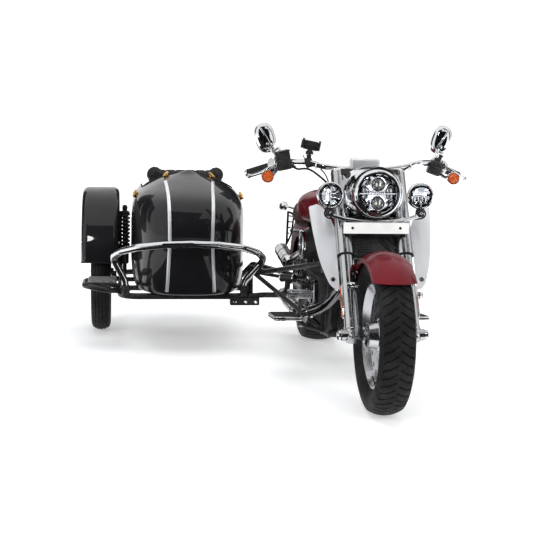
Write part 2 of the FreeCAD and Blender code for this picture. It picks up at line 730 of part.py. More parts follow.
def make_engine():
    """Crankcase block, two leaning cylinders, air cleaner and exhausts."""
    front = size("engine_front")
    low = size("engine_low")
    back = front + size("engine_length")
    sump = block((-82, front, low - 6), (86, back, low + 36))
    case = block((-140, front, low + 32), (size("engine_width") - 140, back, low + size("engine_tall")))
    feature("engine_block", joined(sump, case), around=("main_frame",))
    foot = Vector(0, 905, size("engine_low") + size("engine_tall") - 14)
    lean = math.radians(size("cylinder_lean"))
    for label, way in (("cylinder_front", -1), ("cylinder_rear", 1)):
        up = Vector(0, way * math.sin(lean), math.cos(lean))
        root = foot + Vector(0, way * 62, 0)
        barrel = rod(root, root + up * size("cylinder_tall") * 0.9, size("cylinder_radius"))
        head = rod(root + up * size("cylinder_tall") * 0.72, root + up * size("cylinder_tall"),
                   size("cylinder_radius") + 6)
        fins = []
        for row in range(9):
            low_edge = root + up * (26 + 14 * row)
            fins.append(rod(low_edge, low_edge + up * 4, size("cylinder_radius") + (14 if row < 8 else 10)))
        floor = block((-100, 600, 300), (100, 1200, size("engine_low") + size("engine_tall")))
        middle = block((-100, 905 if way < 0 else 600, 300), (100, 1200 if way < 0 else 905, 800))
        feature(label, joined(barrel, head, *fins).cut(floor).cut(middle), around=("main_frame",))
    canister = rod((-135, 905, 588), (-205, 905, 588), 68)
    intake = rod((0, 905, 588), (-140, 905, 588), 24)
    ports = rod((0, 830, 588), (0, 980, 588), 22)
    feature("air_cleaner", joined(canister, intake, ports), around=("cylinder_front", "cylinder_rear"))


def make_exhaust():
    """Two header pipes, each ending in its own muffler on the right side."""
    radius = size("pipe_radius")
    muffler = size("muffler_radius")
    for label, points, start, end in (
            ("exhaust_front", [(-40, 745, 600), (-62, 640, 590), (-76, 545, 480), (-104, 540, 400),
                               (-150, 600, 328), (-202, 735, 290), (-206, 860, 217), (-172, 1160, 222)],
             (-172, 1150, 222), (-168, 1760, 224)),
            ("exhaust_rear", [(-40, 1060, 600), (-120, 1090, 560), (-196, 1120, 505), (-222, 1190, 468)],
             (-222, 1172, 468), (-193, 1700, 474))):
        pipe = tube(points, radius, 90)
        can = rod(start, end, muffler)
        feature(label, joined(pipe, can), around=("cylinder_front", "cylinder_rear"))


def make_tank_and_seat():
    """Fuel tank over the backbone, the quilted seat and the rear fender."""
    wide = size("tank_half_width")
    top = size("tank_top")
    rows = [(512, 0, top - 78, 58, 42), (545, 0, top - 80, wide * 0.48, 62), (600, 0, top - 84, wide * 0.72, 80),
            (720, 0, top - 90, wide * 0.94, 90), (840, 0, top - 93, wide, 90),
            (920, 0, top - 102, wide * 0.88, 80), (965, 0, top - 112, wide * 0.52, 58)]
    tank = loft(rows, power=2.8)
    feature("fuel_tank", tank.cut(block((-46, 480, 600), (46, 1000, 766.3))), around=("main_frame",))

    wide = size("seat_half_width")
    high = size("seat_height")
    rows = [(968, 0, high - 10, wide * 0.5, 40), (1050, 0, high - 36, wide * 0.94, 60),
            (1180, 0, high - 46, wide, 63), (1300, 0, high - 26, wide * 0.92, 68),
            (1352, 0, high - 2, wide * 0.62, 42)]
    saddle = loft(rows, power=3.2)
    under = block((-150, 900, 560), (150, 1240, 690))
    feature("rider_seat", saddle.cut(under), around=("main_frame", "fuel_tank"))


def fender_shell(radius, half, skin, drop, centre, start, sweep):
    """A round-topped fender: a section of crown and skirts swung about the axle."""
    outer = [Vector(-half, 0, radius - drop), Vector(-half, 0, radius - 34), Vector(0, 0, radius),
             Vector(half, 0, radius - 34), Vector(half, 0, radius - drop)]
    inner = [Vector(p.x * (half - skin) / half, 0, p.z - (skin if p.z > radius - drop else 0))
             for p in outer]
    edges = [Part.LineSegment(outer[0], outer[1]).toShape(),
             Part.Arc(outer[1], outer[2], outer[3]).toShape(),
             Part.LineSegment(outer[3], outer[4]).toShape(),
             Part.LineSegment(outer[4], inner[4]).toShape(),
             Part.LineSegment(inner[4], inner[3]).toShape(),
             Part.Arc(inner[3], inner[2], inner[1]).toShape(),
             Part.LineSegment(inner[1], inner[0]).toShape(),
             Part.LineSegment(inner[0], outer[0]).toShape()]
    cover = turned(Part.Wire(edges), Vector(0, 0, 0), X_AXIS, -sweep)
    cover.rotate(Vector(0, 0, 0), X_AXIS, start)
    cover.translate(centre)
    return cover


def make_rear():
    """Rear fender on its rails, and the swingarm with the rear axle."""
    half = size("rear_fender_width") / 2
    cover = fender_shell(size("rear_fender_radius"), half, 3, 130, REAR_AXLE, 45, 130)
    feature("rear_fender", cover)

    axle = rod(REAR_AXLE - X_AXIS * 158, REAR_AXLE + X_AXIS * 158, size("axle_radius"))
    back = REAR_AXLE.y
    arm = tube([(142, 1197, 330), (142, back - 235, 318), (142, back, REAR_AXLE.z)], 13, 200)
    boss = rod((128, back, REAR_AXLE.z), (158, back, REAR_AXLE.z), 28)
    eye = rod((128.2, 1197, 330), (156, 1197, 330), 28)
    feature("swingarm", joined(axle, *both_sides(joined(arm, boss, eye))))


def make_feet():
    """Footboards, the brake pedal and the side stand."""
    length = size("board_length")
    wide = size("board_width")
    high = size("board_height")
    for label, side in (("footboard_left", 1), ("footboard_right", -1)):
        inner = 230
        board = Part.makeBox(wide, length, 14, Vector(inner, 618, high))
        board = board.makeFillet(30, [e for e in board.Edges if abs(e.Length - 14) < 1e-6])
        board.rotate(Vector(inner, 618 + length / 2, high), X_AXIS, -5)
        arm = tube([(112, 700, 206), (200, 704, 232), (252, 706, high + 4)], 9, 40)
        if side > 0:
            pad = rod((240, 545, 400), (296, 545, 400), 13)
            lever = tube([(248, 545, 400), (246, 600, 345), (246, 655, high)], 7, 30)
        else:
            pad = block((204, 530, 386), (313, 552, 424))
            pad = pad.makeFillet(9, pad.Edges)
            lever = tube([(256, 545, 402), (250, 595, 345), (246, 660, high)], 9, 30)
        shape = joined(board, arm, pad, lever)
        if side < 0:
            shape = shape.mirror(Vector(0, 0, 0), X_AXIS)
        feature(label, shape, around=("main_frame",))

    eye = rod((131, 790, 196), (149, 790, 196), 17)
    leg = tube([(140, 790, 196), (144, 860, 194), (176, 950, 190)], 9, 60)
    foot = rod((172, 952, 178), (176, 956, 202), 15)
    pin = rod((100, 790, 196), (200, 790, 196), 8 + size("running_gap"))
    feature("side_stand", joined(eye, leg, foot).cut(pin))


def make_motorcycle():
    """Everything of the motorcycle that doesn't steer or turn."""
    make_frame()
    make_engine()
    make_exhaust()
    make_tank_and_seat()
    make_rear()
    make_feet()


# ---- sidecar --------------------------------------------------------------------


def make_sidecar_body():
    """The hollow body with its cockpit opening, and the seat in it."""
    middle = -size("body_middle")
    half = size("body_half_width")
    low = size("body_bottom")
    high = size("body_top")
    wall = size("body_wall")
    nose = size("body_nose")
    front = size("cockpit_front")
    tail = size("body_tail")
    # height, half width, distance behind the nose, distance before the tail
    levels = [(low, half - 30, nose + 72, tail - 92), (low + 8, half - 20, nose + 54, tail - 70),
              (low + 44, half - 9, nose + 32, tail - 40), (low + 128, half, nose + 12, tail - 12),
              (low + 268, half, nose, tail), (high - 233, half, nose + 10, tail - 5),
              (high - 178, half - 5, nose + 32, tail - 14), (high - 136, half - 18, nose + 70, tail - 28),
              (high - 100, half - 44, nose + 142, tail - 52), (high - 72, half - 80, nose + 226, tail - 86),
              (high - 48, half - 118, nose + 306, tail - 126), (high - 28, half - 162, nose + 378, tail - 176),
              (high - 12, half - 212, nose + 430, tail - 236), (high, half - 262, nose + 462, tail - 320)]
    middle_height = (low + high) / 2
    squeeze = 1 - 2 * wall / (high - low)
    skin = []
    hollow = []
    for height, wide, fore, aft in levels:
        skin.append(plan_oval(middle, (fore + aft) / 2, height, wide, (aft - fore) / 2))
        inner_height = middle_height + (height - middle_height) * squeeze
        hollow.append(plan_oval(middle, (fore + aft) / 2, inner_height, wide - wall, (aft - fore) / 2 - wall))
    shell = Part.makeLoft(skin, True).cut(Part.makeLoft(hollow, True))
    opening = block((middle - half * 0.8, front, 700), (middle + half * 0.8, size("cockpit_back"), high + 60))
    corners = [e for e in opening.Edges if abs(e.Length - (high - 640)) < 1e-6]
    opening = opening.makeFillet(70, corners)
    feature("sidecar_body", shell.cut(opening))

    seat_middle = middle + 12
    cushion = Part.makeBox(380, 380, 122, Vector(seat_middle - 190, front + 60, low + 63))
    cushion = cushion.makeFillet(24, cushion.Edges)
    rest = Part.makeBox(440, 106, 512, Vector(seat_middle - 220, 0, 0))
    rest = rest.makeFillet(34, rest.Edges)
    ears = [Part.makeCylinder(54, 98, Vector(seat_middle + x, 4, 472), Y_AXIS) for x in (-176, 176)]
    ears = [ear.makeFillet(24, [e for e in ear.Edges if e.Closed]) for ear in ears]
    rest = joined(rest, *ears)
    rest.rotate(Vector(seat_middle, 0, 0), X_AXIS, -12)
    rest.translate(Vector(0, front + 372, low + 103))
    base = block((middle - 110, front + 80, low + wall + 0.3), (middle + 110, front + 290, low + 83))
    feature("sidecar_seat", joined(cushion, rest, base), around=("sidecar_body",))


def make_sidecar_frame():
    """Ladder frame under the body, with the wheel's axle and the body pads."""
    radius = size("side_frame_tube")
    high = size("side_frame_height")
    left = -size("rail_left")
    right = -size("rail_right")
    front = 1340
    back = 2290
    ring = tube([(left, 1700, high), (left, front, high), (right, front, high),
                 (right, back, high), (left, back, high), (left, 1700, high)], radius, 90)
    y = SIDE_AXLE.y
    cross = rod((left, y - 330, high), (right, y - 330, high), radius - 2)
    beam = rod((left, y, high), (right, y, high), radius - 3)
    drop = tube([(right + 6, y, high + 3), (right - 36, y, high + 4), (right - 40, y, SIDE_AXLE.z)], 14, 20)
    axle = rod((right - 40, y, SIDE_AXLE.z), (SIDE_AXLE.x - 60, y, SIDE_AXLE.z), size("axle_radius"))
    shoulder = rod((right - 40, y, SIDE_AXLE.z), (SIDE_AXLE.x + 47, y, SIDE_AXLE.z), 17)
    post = rod((left, front + 38, high), (left, front + 38, high + 155), 15)
    sockets = [rod((x, front, high), (x, front, high + 49), 21) for x in (left - 34, right + 24)]
    clamp = block((left - 106, front - 20, high - 45), (left + 44, front + 20, high - 6))
    clamp = clamp.makeFillet(6, clamp.Edges)
    middle = -size("body_middle")
    pads = [block((middle - 60, p - 20, high), (middle + 60, p + 20, size("body_bottom") - 0.2))
            for p in (y - 330, y)]
    feature("sidecar_frame", joined(ring, cross, beam, drop, axle, shoulder, post, clamp, *sockets, *pads))


def make_sidecar_fender():
    """Tall fender: a half circle with straight legs and closed sides."""
    radius = size("side_fender_radius")
    half = size("side_fender_width") / 2
    centre = SIDE_AXLE + Vector(0, 0, size("side_fender_lift"))

    def drum(out, wide, foot, edge):
        round_top = Part.makeCylinder(out, 2 * wide, centre - X_AXIS * wide, X_AXIS)
        legs = block((centre.x - wide, centre.y - out, foot), (centre.x + wide, centre.y + out, centre.z))
        floor = block((centre.x - 400, centre.y - 600, -200), (centre.x + 400, centre.y + 600, foot))
        whole = joined(round_top, legs).cut(floor)
        rims = [e for e in whole.Edges if abs(e.BoundBox.XLength) < 1e-6 and e.BoundBox.ZMax > foot + 1]
        return whole.makeFillet(edge, rims)

    soft = size("side_fender_round")
    shell = drum(radius, half, 410, soft).cut(drum(radius - 3, half - 3, 380, soft - 3))
    window = Part.makeCylinder(240, 2 * half + 20, centre - Vector(half + 10, 0, 130), X_AXIS)
    stays = [tube([(-size("rail_right"), centre.y + off, size("side_frame_height") + 8),
                   (-size("rail_right") - 6, centre.y + off, 520),
                   (centre.x + half + 4, centre.y + off, 640)], 9, 30) for off in (-180, 180)]
    feature("sidecar_fender", joined(shell.cut(window), *stays), around=("sidecar_frame", "sidecar_body"))


def make_sidecar_fittings():
    """Step, bumper hoop, shock and the struts that tie the sidecar on."""
    high = size("side_frame_height")
    right = -size("rail_right")
    step = tube([(right + 2, 1405, high + 18), (right - 60, 1310, high + 34), (-1196, 1302, high + 52),
                 (-1230, 1345, high + 54), (-1230, 1510, high + 54), (-1196, 1550, high + 52),
                 (right + 2, 1550, high + 18)], 14, 40)
    mat = block((-1215, 1316, high + 62), (right - 20, 1534, high + 73))
    mat = mat.makeFillet(4, [e for e in mat.Edges if e.BoundBox.ZMin > high + 70])
    feature("sidecar_step", joined(step, mat), around=("sidecar_frame",))

    left = -size("rail_left") - 34
    crown = [(-1092, 1300, 478), (-1052, 1205, 516), (-965, 1128, 545), (-842, 1088, 562), (-708, 1075, 568),
             (-578, 1088, 562), (-462, 1126, 546), (-376, 1200, 514), (-331, 1288, 470)]
    hoop = tube([(right + 24, 1340, high + 49), (right + 20, 1338, high + 83)] + crown
                + [(left + 8, 1336, high + 87), (left, 1340, high + 49)], size("hoop_tube"), 60)
    feature("bumper_hoop", hoop, around=("sidecar_frame",))

    spot = Vector(-1030, SIDE_AXLE.y - 163, 0)
    coils = [rod(spot + Vector(0, 0, 484 + 19 * row), spot + Vector(0, 0, 493 + 19 * row), 26)
             for row in range(9)]
    cups = [rod(spot + Vector(0, 0, z), spot + Vector(0, 0, z + 8), 26) for z in (474, 655)]
    shock = joined(rod(spot + Vector(0, 0, 330), spot + Vector(0, 0, 690), 9),
                   rod(spot + Vector(0, 0, 474), spot + Vector(0, 0, 660), 17),
                   rod(spot + Vector(0, 0, 380), spot + Vector(0, 0, 474), 20), *coils, *cups)
    feature("sidecar_shock", shock, around=("sidecar_frame", "sidecar_fender"))

    strut = size("strut_tube")
    frame = ("sidecar_frame", "main_frame", "engine_block", "bumper_hoop")
    elbow = tube([(-400, 1344, high), (-336, 1330, high + 8), (-258, 1238, high + 22),
                  (-236, 1140, high + 52), (-233, 1128, 398)], strut, 60)
    sleeve = rod((-262, 1152, 397), (-204, 1100, 401), 20)
    link = tube([(-394, 1378, 398), (-330, 1290, 396), (-233, 1126, 399), (-150, 1120, 404),
                 (-112, 1192, 404)], 9, 30)
    brace = rod((-372, 1350, 388), (-114, 730, 205), 11)
    feature("lower_strut", joined(elbow, sleeve, link, brace), around=frame)
    feature("upper_strut", tube([(-393, 1375, high + 133), (-330, 1280, 408), (-150, 640, 530),
                                 (-112, 566, 538)], strut - 1, 60), around=frame + ("lower_strut",))
    feature("rear_strut", tube([(-394, 1960, high + 10), (-330, 1860, 378), (-160, 1330, 378),
                                (-112, 1197, 378)], strut, 60), around=frame)


make_wheels()
make_fork()
make_front_lights()
make_controls()
make_front_covers()
make_motorcycle()
make_sidecar_body()
make_sidecar_frame()
make_sidecar_fender()
make_sidecar_fittings()
doc.recompute()


def write_pieces():
    """Checks every object, then writes each sub-part to its own file."""
    for thing in doc.Objects:
        if "Invalid" in thing.State or "Error" in thing.State:
            raise RuntimeError("%s failed: %s" % (thing.Name, thing.State))
    whole = FreeCAD.BoundBox()
    os.makedirs("parts", exist_ok=True)
    for piece in PIECES:
        shape = piece.Shape
        if shape.isNull() or not shape.isValid() or not shape.Solids:
            raise RuntimeError("%s has no valid solid" % piece.Label)
        whole.add(shape.optimalBoundingBox(False))
        shape.exportStep("parts/%s.step" % piece.Label)
        print("%-22s solids %d volume %9.0f" % (piece.Label, len(shape.Solids), shape.Volume))
    print("x %.2f %.2f  y %.2f %.2f  z %.2f %.2f" % (whole.XMin, whole.XMax, whole.YMin,
                                                   whole.YMax, whole.ZMin, whole.ZMax))


write_pieces()
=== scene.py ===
"""Looks of the sidecar motorcycle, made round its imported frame.

Lengths are in metres. v(x, y, z) is a place in the vehicle frame: millimetres
from the ground under the front axle, +X to the rider's left, -Y forward.
"""
import json
import math

import bmesh
import bpy
from mathutils import Matrix, Vector
from mathutils.bvhtree import BVHTree


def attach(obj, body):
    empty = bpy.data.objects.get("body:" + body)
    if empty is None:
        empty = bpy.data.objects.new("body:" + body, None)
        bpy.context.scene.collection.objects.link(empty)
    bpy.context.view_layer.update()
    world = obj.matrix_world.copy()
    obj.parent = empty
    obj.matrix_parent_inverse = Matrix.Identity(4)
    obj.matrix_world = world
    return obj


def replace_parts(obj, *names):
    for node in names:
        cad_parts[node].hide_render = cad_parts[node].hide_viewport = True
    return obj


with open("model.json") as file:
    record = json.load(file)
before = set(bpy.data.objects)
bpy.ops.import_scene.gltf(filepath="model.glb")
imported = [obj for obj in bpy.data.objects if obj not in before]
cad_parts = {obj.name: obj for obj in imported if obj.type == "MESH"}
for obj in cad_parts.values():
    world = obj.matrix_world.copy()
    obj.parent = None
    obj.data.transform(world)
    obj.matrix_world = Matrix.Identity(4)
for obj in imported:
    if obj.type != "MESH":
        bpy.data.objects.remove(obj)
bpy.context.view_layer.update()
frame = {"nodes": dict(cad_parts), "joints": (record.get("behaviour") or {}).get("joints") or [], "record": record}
nodes = frame["nodes"]
joint_at = {j["name"]: Vector(j["pos_m"]) for j in frame["joints"]}
FRONT_AXLE = joint_at["front_wheel_spin"]
REAR_AXLE = joint_at["rear_wheel_spin"]
SIDE_AXLE = joint_at["sidecar_wheel_spin"]
GROUND = Vector((FRONT_AXLE.x, FRONT_AXLE.y, 0))
RAKE = math.radians(32)

# Lengths are in millimetres and places are in the vehicle frame, as in v(). Turns, leans and angles
# are in degrees. The pads' pressure and their number of frames are the cloth's own settings.
CAMERA_PLACE = (-1033.6, -4662.5, 1189.3)
CAMERA_LENS = 81.05
CAMERA_TURN, CAMERA_DOWN, CAMERA_ROLL = 6.823, 7.1845, 1.0
LAMP_BACK, LAMP_HEIGHT = 165, 877
FOG_SIDE, FOG_BACK, FOG_HEIGHT = 190, 205, 866
SIGNAL_SIDE, SIGNAL_BACK, SIGNAL_HEIGHT = 414, 520, 926
KNUCKLE = (190, 219, 796)
FORK_SIDE = 124
DEFLECTOR_BEND = 190
FRONT_FENDER_RADIUS, FRONT_FENDER_CROWN, FRONT_FENDER_LIP = 338, 138.3, 237
CYLINDER_LEAN, CYLINDER_MIDDLE, CYLINDER_APART, CYLINDER_FOOT = 22.5, 905, 62, 436
WHEELBASE, REAR_RADIUS, REAR_FENDER_RADIUS, TAIL_LAMP_ANGLE = 1635, 326, 356, 62
SEAT_PIPING, QUILT_PITCH, QUILT_DEPTH = 690, 46, 3.4
SIDE_SEAT_MIDDLE, PLEAT_PITCH, PLEAT_DEPTH = -690, 56, 4.5
BODY_MIDDLE = -702
HOOP_BACK = 1340
TREAD_DEPTH, TREAD_EDGE = 4.5, 16.5
PAD_PRESSURE, PAD_FRAMES = 4, 20
FORK_UP = Vector((0, math.sin(RAKE), math.cos(RAKE)))
FORK_FORWARD = Vector((0, -math.cos(RAKE), math.sin(RAKE)))


def v(x, y, z):
    """A place in the vehicle frame, given in millimetres."""
    return GROUND + Vector((x, y, z)) / 1000


def at(x, y, z):
    """A matrix that moves a piece to a place in the vehicle frame."""
    return Matrix.Translation(v(x, y, z))


HERE = at(0, 0, 0)


def on_fork(x, up, forward=0):
    """A place beside the fork line, given in millimetres."""
    return FRONT_AXLE + Vector((x / 1000, 0, 0)) + FORK_UP * up / 1000 + FORK_FORWARD * forward / 1000


# ---- camera, floor and light -----------------------------------------------------


def make_camera():
    """A long lens, low and a little to the vehicle's right."""
    data = bpy.data.cameras.new("studio_camera")
    data.lens = CAMERA_LENS
    data.sensor_width = 36
    camera = bpy.data.objects.new("studio_camera", data)
    bpy.context.scene.collection.objects.link(camera)
    look = (Matrix.Rotation(math.radians(-CAMERA_TURN), 4, "Z")
            @ Matrix.Rotation(math.radians(90 - CAMERA_DOWN), 4, "X")
            @ Matrix.Rotation(math.radians(CAMERA_ROLL), 4, "Z"))
    camera.matrix_world = at(*CAMERA_PLACE) @ look
    bpy.context.scene.camera = camera


def soft_box(name, place, target, wide, tall, watts, seen=False):
    """A rectangular studio lamp that looks at a point; gloss sees it only if asked."""
    data = bpy.data.lights.new(name, "AREA")
    data.shape = "ELLIPSE" if seen else "RECTANGLE"
    data.size = wide
    data.size_y = tall
    data.energy = watts
    lamp = bpy.data.objects.new(name, data)
    bpy.context.scene.collection.objects.link(lamp)
    look = (Vector(target) - Vector(place)).to_track_quat("-Z", "Y")
    lamp.matrix_world = Matrix.Translation(place) @ look.to_matrix().to_4x4()
    lamp.visible_glossy = seen


def white_for_eyes(tree, plain, white, output):
    """The plain shader, but the white one for camera, gloss and glass rays."""
    path = tree.nodes.new("ShaderNodeLightPath")
    seen = tree.nodes.new("ShaderNodeMath")
    seen.operation = "MAXIMUM"
    through = tree.nodes.new("ShaderNodeMath")
    through.operation = "MAXIMUM"
    mix = tree.nodes.new("ShaderNodeMixShader")
    for start, end in ((path.outputs["Is Camera Ray"], seen.inputs[0]), (path.outputs["Is Glossy Ray"], seen.inputs[1]),
                       (seen.outputs[0], through.inputs[0]), (path.outputs["Is Transmission Ray"], through.inputs[1]),
                       (through.outputs[0], mix.inputs["Fac"]), (plain.outputs[0], mix.inputs[1]),
                       (white.outputs[0], mix.inputs[2]), (mix.outputs[0], output.inputs["Surface"])):
        tree.links.new(start, end)


def make_studio():
    """White floor and surroundings, soft boxes, and dark flags that only gloss sees."""
    scene = bpy.context.scene
    scene.view_settings.view_transform = "Standard"
    world = bpy.data.worlds.new("studio")
    scene.world = world
    world.use_nodes = True
    tree = world.node_tree
    back = tree.nodes["Background"]
    back.inputs["Color"].default_value = (1, 1, 1, 1)
    fill = tree.nodes.new("ShaderNodeBackground")
    fill.inputs["Color"].default_value = (0.93, 0.96, 1, 1)
    fill.inputs["Strength"].default_value = 0.45
    white_for_eyes(tree, fill, back, tree.nodes["World Output"])

    bpy.ops.mesh.primitive_plane_add(size=60, location=(0, 0, -0.001))
    floor = bpy.context.object
    floor.name = "studio_floor"
    paper = bpy.data.materials.new("studio_paper")
    paper.use_nodes = True
    tree = paper.node_tree
    cloth = tree.nodes["Principled BSDF"]
    cloth.inputs["Base Color"].default_value = (0.8, 0.8, 0.8, 1)
    cloth.inputs["Roughness"].default_value = 0.9
    cloth.inputs["Specular IOR Level"].default_value = 0.0
    lift = tree.nodes.new("ShaderNodeEmission")
    lift.inputs["Color"].default_value = (1, 1, 1, 1)
    place = tree.nodes.new("ShaderNodeTexCoord")
    away = tree.nodes.new("ShaderNodeVectorMath")
    away.operation = "LENGTH"
    rise = tree.nodes.new("ShaderNodeMapRange")
    rise.interpolation_type = "SMOOTHSTEP"
    for socket, value in (("From Min", 1.9), ("From Max", 4.5), ("To Min", 0.38), ("To Max", 1.0)):
        rise.inputs[socket].default_value = value
    tree.links.new(place.outputs["Object"], away.inputs[0])
    tree.links.new(away.outputs["Value"], rise.inputs["Value"])
    tree.links.new(rise.outputs["Result"], lift.inputs["Strength"])
    both = tree.nodes.new("ShaderNodeAddShader")
    tree.links.new(cloth.outputs[0], both.inputs[0])
    tree.links.new(lift.outputs[0], both.inputs[1])
    white_for_eyes(tree, cloth, both, tree.nodes["Material Output"])
    floor.data.materials.append(paper)

    middle = Vector((0, -0.2, 0.5))
    soft_box("top_box", (0.0, -0.2, 4.4), middle, 4.0, 3.6, 130)
    soft_box("left_box", (3.4, -4.6, 2.4), middle, 2.2, 2.4, 150)
    soft_box("right_box", (-4.0, -4.2, 2.4), middle, 2.2, 2.4, 150)
    soft_box("rear_box", (0.6, 4.6, 3.2), middle, 3.0, 1.6, 70)
    soft_box("catch_light", (-1.053, -4.43, 3.5), (-0.876, 0.567, 0.54), 0.19, 1.1, 16, seen=True)

    dark = bpy.data.materials.new("studio_flag")
    dark.use_nodes = True
    dark.node_tree.nodes["Principled BSDF"].inputs["Base Color"].default_value = (0.015, 0.015, 0.015, 1)
    dark.node_tree.nodes["Principled BSDF"].inputs["Specular IOR Level"].default_value = 0.0
    middle = Vector((0, -0.4, 0.6))
    flags = [("flag_front", (-0.8, -8.5, 2.7), 12.0, 6.8), ("flag_front_low", (-0.8, -5.2, 0.02), 8.0, 7.4),
             ("flag_floor_low", (-0.75, -0.6, 0.01), 1.7, 1.9), ("flag_canopy", (-2.0, -6.6, 7.2), 6.4, 4.4),
             ("flag_left", (7.5, -3.6, 2.4), 2.2, 5.6), ("flag_right", (-6.5, 5.1, 2.4), 3.2, 8.0),
             ("flag_high_left", (3.9, -3.4, 5.6), 1.3, 4.4), ("flag_catch", (-0.7, -2.04, 2.09), 0.26, 0.75),
             ("flag_back", (3.0, 8.0, 3.0), 5.0, 3.4), ("flag_floor_back_low", (-0.3, 5.0, 0.01), 1.6, 6.0)]
    for number, (around, up, wide) in enumerate(((-150, 18, 2.2), (-112, 20, 1.6), (70, 24, 1.2),
                                                 (112, 20, 1.6), (158, 18, 2.0), (34, 54, 0.7))):
        turn, lift = math.radians(around), math.radians(up)
        place = middle + 8 * Vector((math.sin(turn) * math.cos(lift), -math.cos(turn) * math.cos(lift), math.sin(lift)))
        flags.append(("flag_streak_%d" % number, place, wide, 4.6))
    for name, place, wide, tall in flags:
        bpy.ops.mesh.primitive_plane_add(size=1, location=(0, 0, 0))
        flag = bpy.context.object
        flag.name = name
        look = (middle - Vector(place)).to_track_quat("Z", "Y").to_matrix().to_4x4()
        if name.endswith("_low"):
            look = Matrix.Identity(4)
        flag.matrix_world = Matrix.Translation(place) @ look @ Matrix.Diagonal((wide, tall, 1, 1))
        flag.data.materials.append(dark)
        for ray in ("camera", "diffuse", "shadow", "transmission"):
            setattr(flag, "visible_" + ray, False)


make_camera()
make_studio()


# ---- finishes --------------------------------------------------------------------


class Finish:
    """A node material under construction: one Principled shader and its helpers."""

    def __init__(self, name, colour, metallic=0.0, roughness=0.5, **sockets):
        self.material = bpy.data.materials.new(name)
        self.material.use_nodes = True
        self.tree = self.material.node_tree
        self.shader = self.tree.nodes["Principled BSDF"]
        self.shader.inputs["Base Color"].default_value = (*colour, 1)
        self.shader.inputs["Metallic"].default_value = metallic
        self.shader.inputs["Roughness"].default_value = roughness
        for socket, value in sockets.items():
            self.shader.inputs[socket.replace("_", " ")].default_value = value
        self.place = self.tree.nodes.new("ShaderNodeTexCoord").outputs["Object"]

    def link(self, start, end):
        """Joins two sockets."""
        self.tree.links.new(start, end)
        return self

    def noise(self, scale, detail=4.0, stretch=None):
        """Noise on the object's own coordinates, drawn out along an axis if asked."""
        made = self.tree.nodes.new("ShaderNodeTexNoise")
        made.inputs["Scale"].default_value = scale
        made.inputs["Detail"].default_value = detail
        place = self.place
        if stretch:
            mapping = self.tree.nodes.new("ShaderNodeMapping")
            mapping.inputs["Scale"].default_value = stretch
            self.link(place, mapping.inputs["Vector"])
            place = mapping.outputs["Vector"]
        self.link(place, made.inputs["Vector"])
        return made.outputs["Fac"]

    def cells(self, scale):
        """A Voronoi pattern's distance on the object's coordinates."""
        made = self.tree.nodes.new("ShaderNodeTexVoronoi")
        made.inputs["Scale"].default_value = scale
        self.link(self.place, made.inputs["Vector"])
        return made.outputs["Distance"]

    def ranged(self, value, low, high, start=0.3, end=0.7):
        """A value mapped from one range to another."""
        made = self.tree.nodes.new("ShaderNodeMapRange")
        for socket, number in (("From Min", start), ("From Max", end), ("To Min", low), ("To Max", high)):
            made.inputs[socket].default_value = number
        self.link(value, made.inputs["Value"])
        return made.outputs["Result"]

    def blend(self, fac, first, second):
        """Two colours mixed; a colour is a socket or three numbers."""
        made = self.tree.nodes.new("ShaderNodeMix")
        made.data_type = "RGBA"
        for colour, socket in ((first, made.inputs[6]), (second, made.inputs[7])):
            if isinstance(colour, tuple):
                socket.default_value = (*colour, 1)
            else:
                self.link(colour, socket)
        self.link(fac, made.inputs[0])
        return made.outputs[2]

    def edges(self, start=0.52, end=0.6):
        """Where the surface is a sharp outer edge."""
        made = self.tree.nodes.new("ShaderNodeNewGeometry")
        return self.ranged(made.outputs["Pointiness"], 0, 1, start, end)

    def colour(self, value):
        """Feeds the shader's colour."""
        return self.link(value, self.shader.inputs["Base Color"])

    def roughness(self, value):
        """Feeds the shader's roughness."""
        return self.link(value, self.shader.inputs["Roughness"])

    def bump(self, value, strength, depth):
        """Adds a bump, on top of any there already."""
        made = self.tree.nodes.new("ShaderNodeBump")
        made.inputs["Strength"].default_value = strength
        made.inputs["Distance"].default_value = depth
        self.link(value, made.inputs["Height"])
        before = self.shader.inputs["Normal"]
        if before.is_linked:
            self.link(before.links[0].from_socket, made.inputs["Normal"])
        return self.link(made.outputs["Normal"], before)


def gloss_paint(name, colour, deep, flake, metallic, gloss=1.0):
    """Lacquered paint: flakes under a clear coat, faint orange peel, thin dust."""
    made = Finish(name, colour, metallic, 0.35, Specular_IOR_Level=0.08, Coat_Weight=gloss, Coat_Roughness=0.02)
    shade = made.blend(made.ranged(made.cells(1400), 0, 1, 0.1, 0.7), colour, flake)
    made.colour(made.blend(made.ranged(made.noise(3), 0, 0.6), shade, deep))
    made.roughness(made.ranged(made.noise(12), 0.3, 0.44))
    made.bump(made.noise(260, 2), 0.02, 0.0004)
    return made.material


def bright_metal(name, colour, low, high, grime=(0.12, 0.12, 0.12), grain=None):
    """Plated or polished metal: smudges in the gloss, darker in patches of noise."""
    made = Finish(name, colour, 1.0, low)
    made.colour(made.blend(made.ranged(made.noise(5, 5), 0, 0.22, 0.5, 0.8), colour, grime))
    smudge = made.noise(9, 6)
    if grain:
        lines = made.noise(60, 3, grain)
        made.roughness(made.ranged(lines, low, high, 0.35, 0.65))
        made.bump(lines, 0.06, 0.0004)
    else:
        made.roughness(made.ranged(smudge, low, high, 0.4, 0.75))
        made.bump(made.noise(140, 2), 0.015, 0.0005)
    return made.material


def coated_metal(name, colour, worn, low, high):
    """Powder-coated steel: a fine peel, scuffs in patches of noise."""
    made = Finish(name, colour, 0.0, low, Specular_IOR_Level=0.25, Coat_Weight=0.12, Coat_Roughness=0.15)
    made.colour(made.blend(made.ranged(made.noise(20), 0, 1), colour, worn))
    made.roughness(made.ranged(made.noise(30), low, high))
    made.bump(made.noise(500, 2), 0.08, 0.0004)
    return made.material


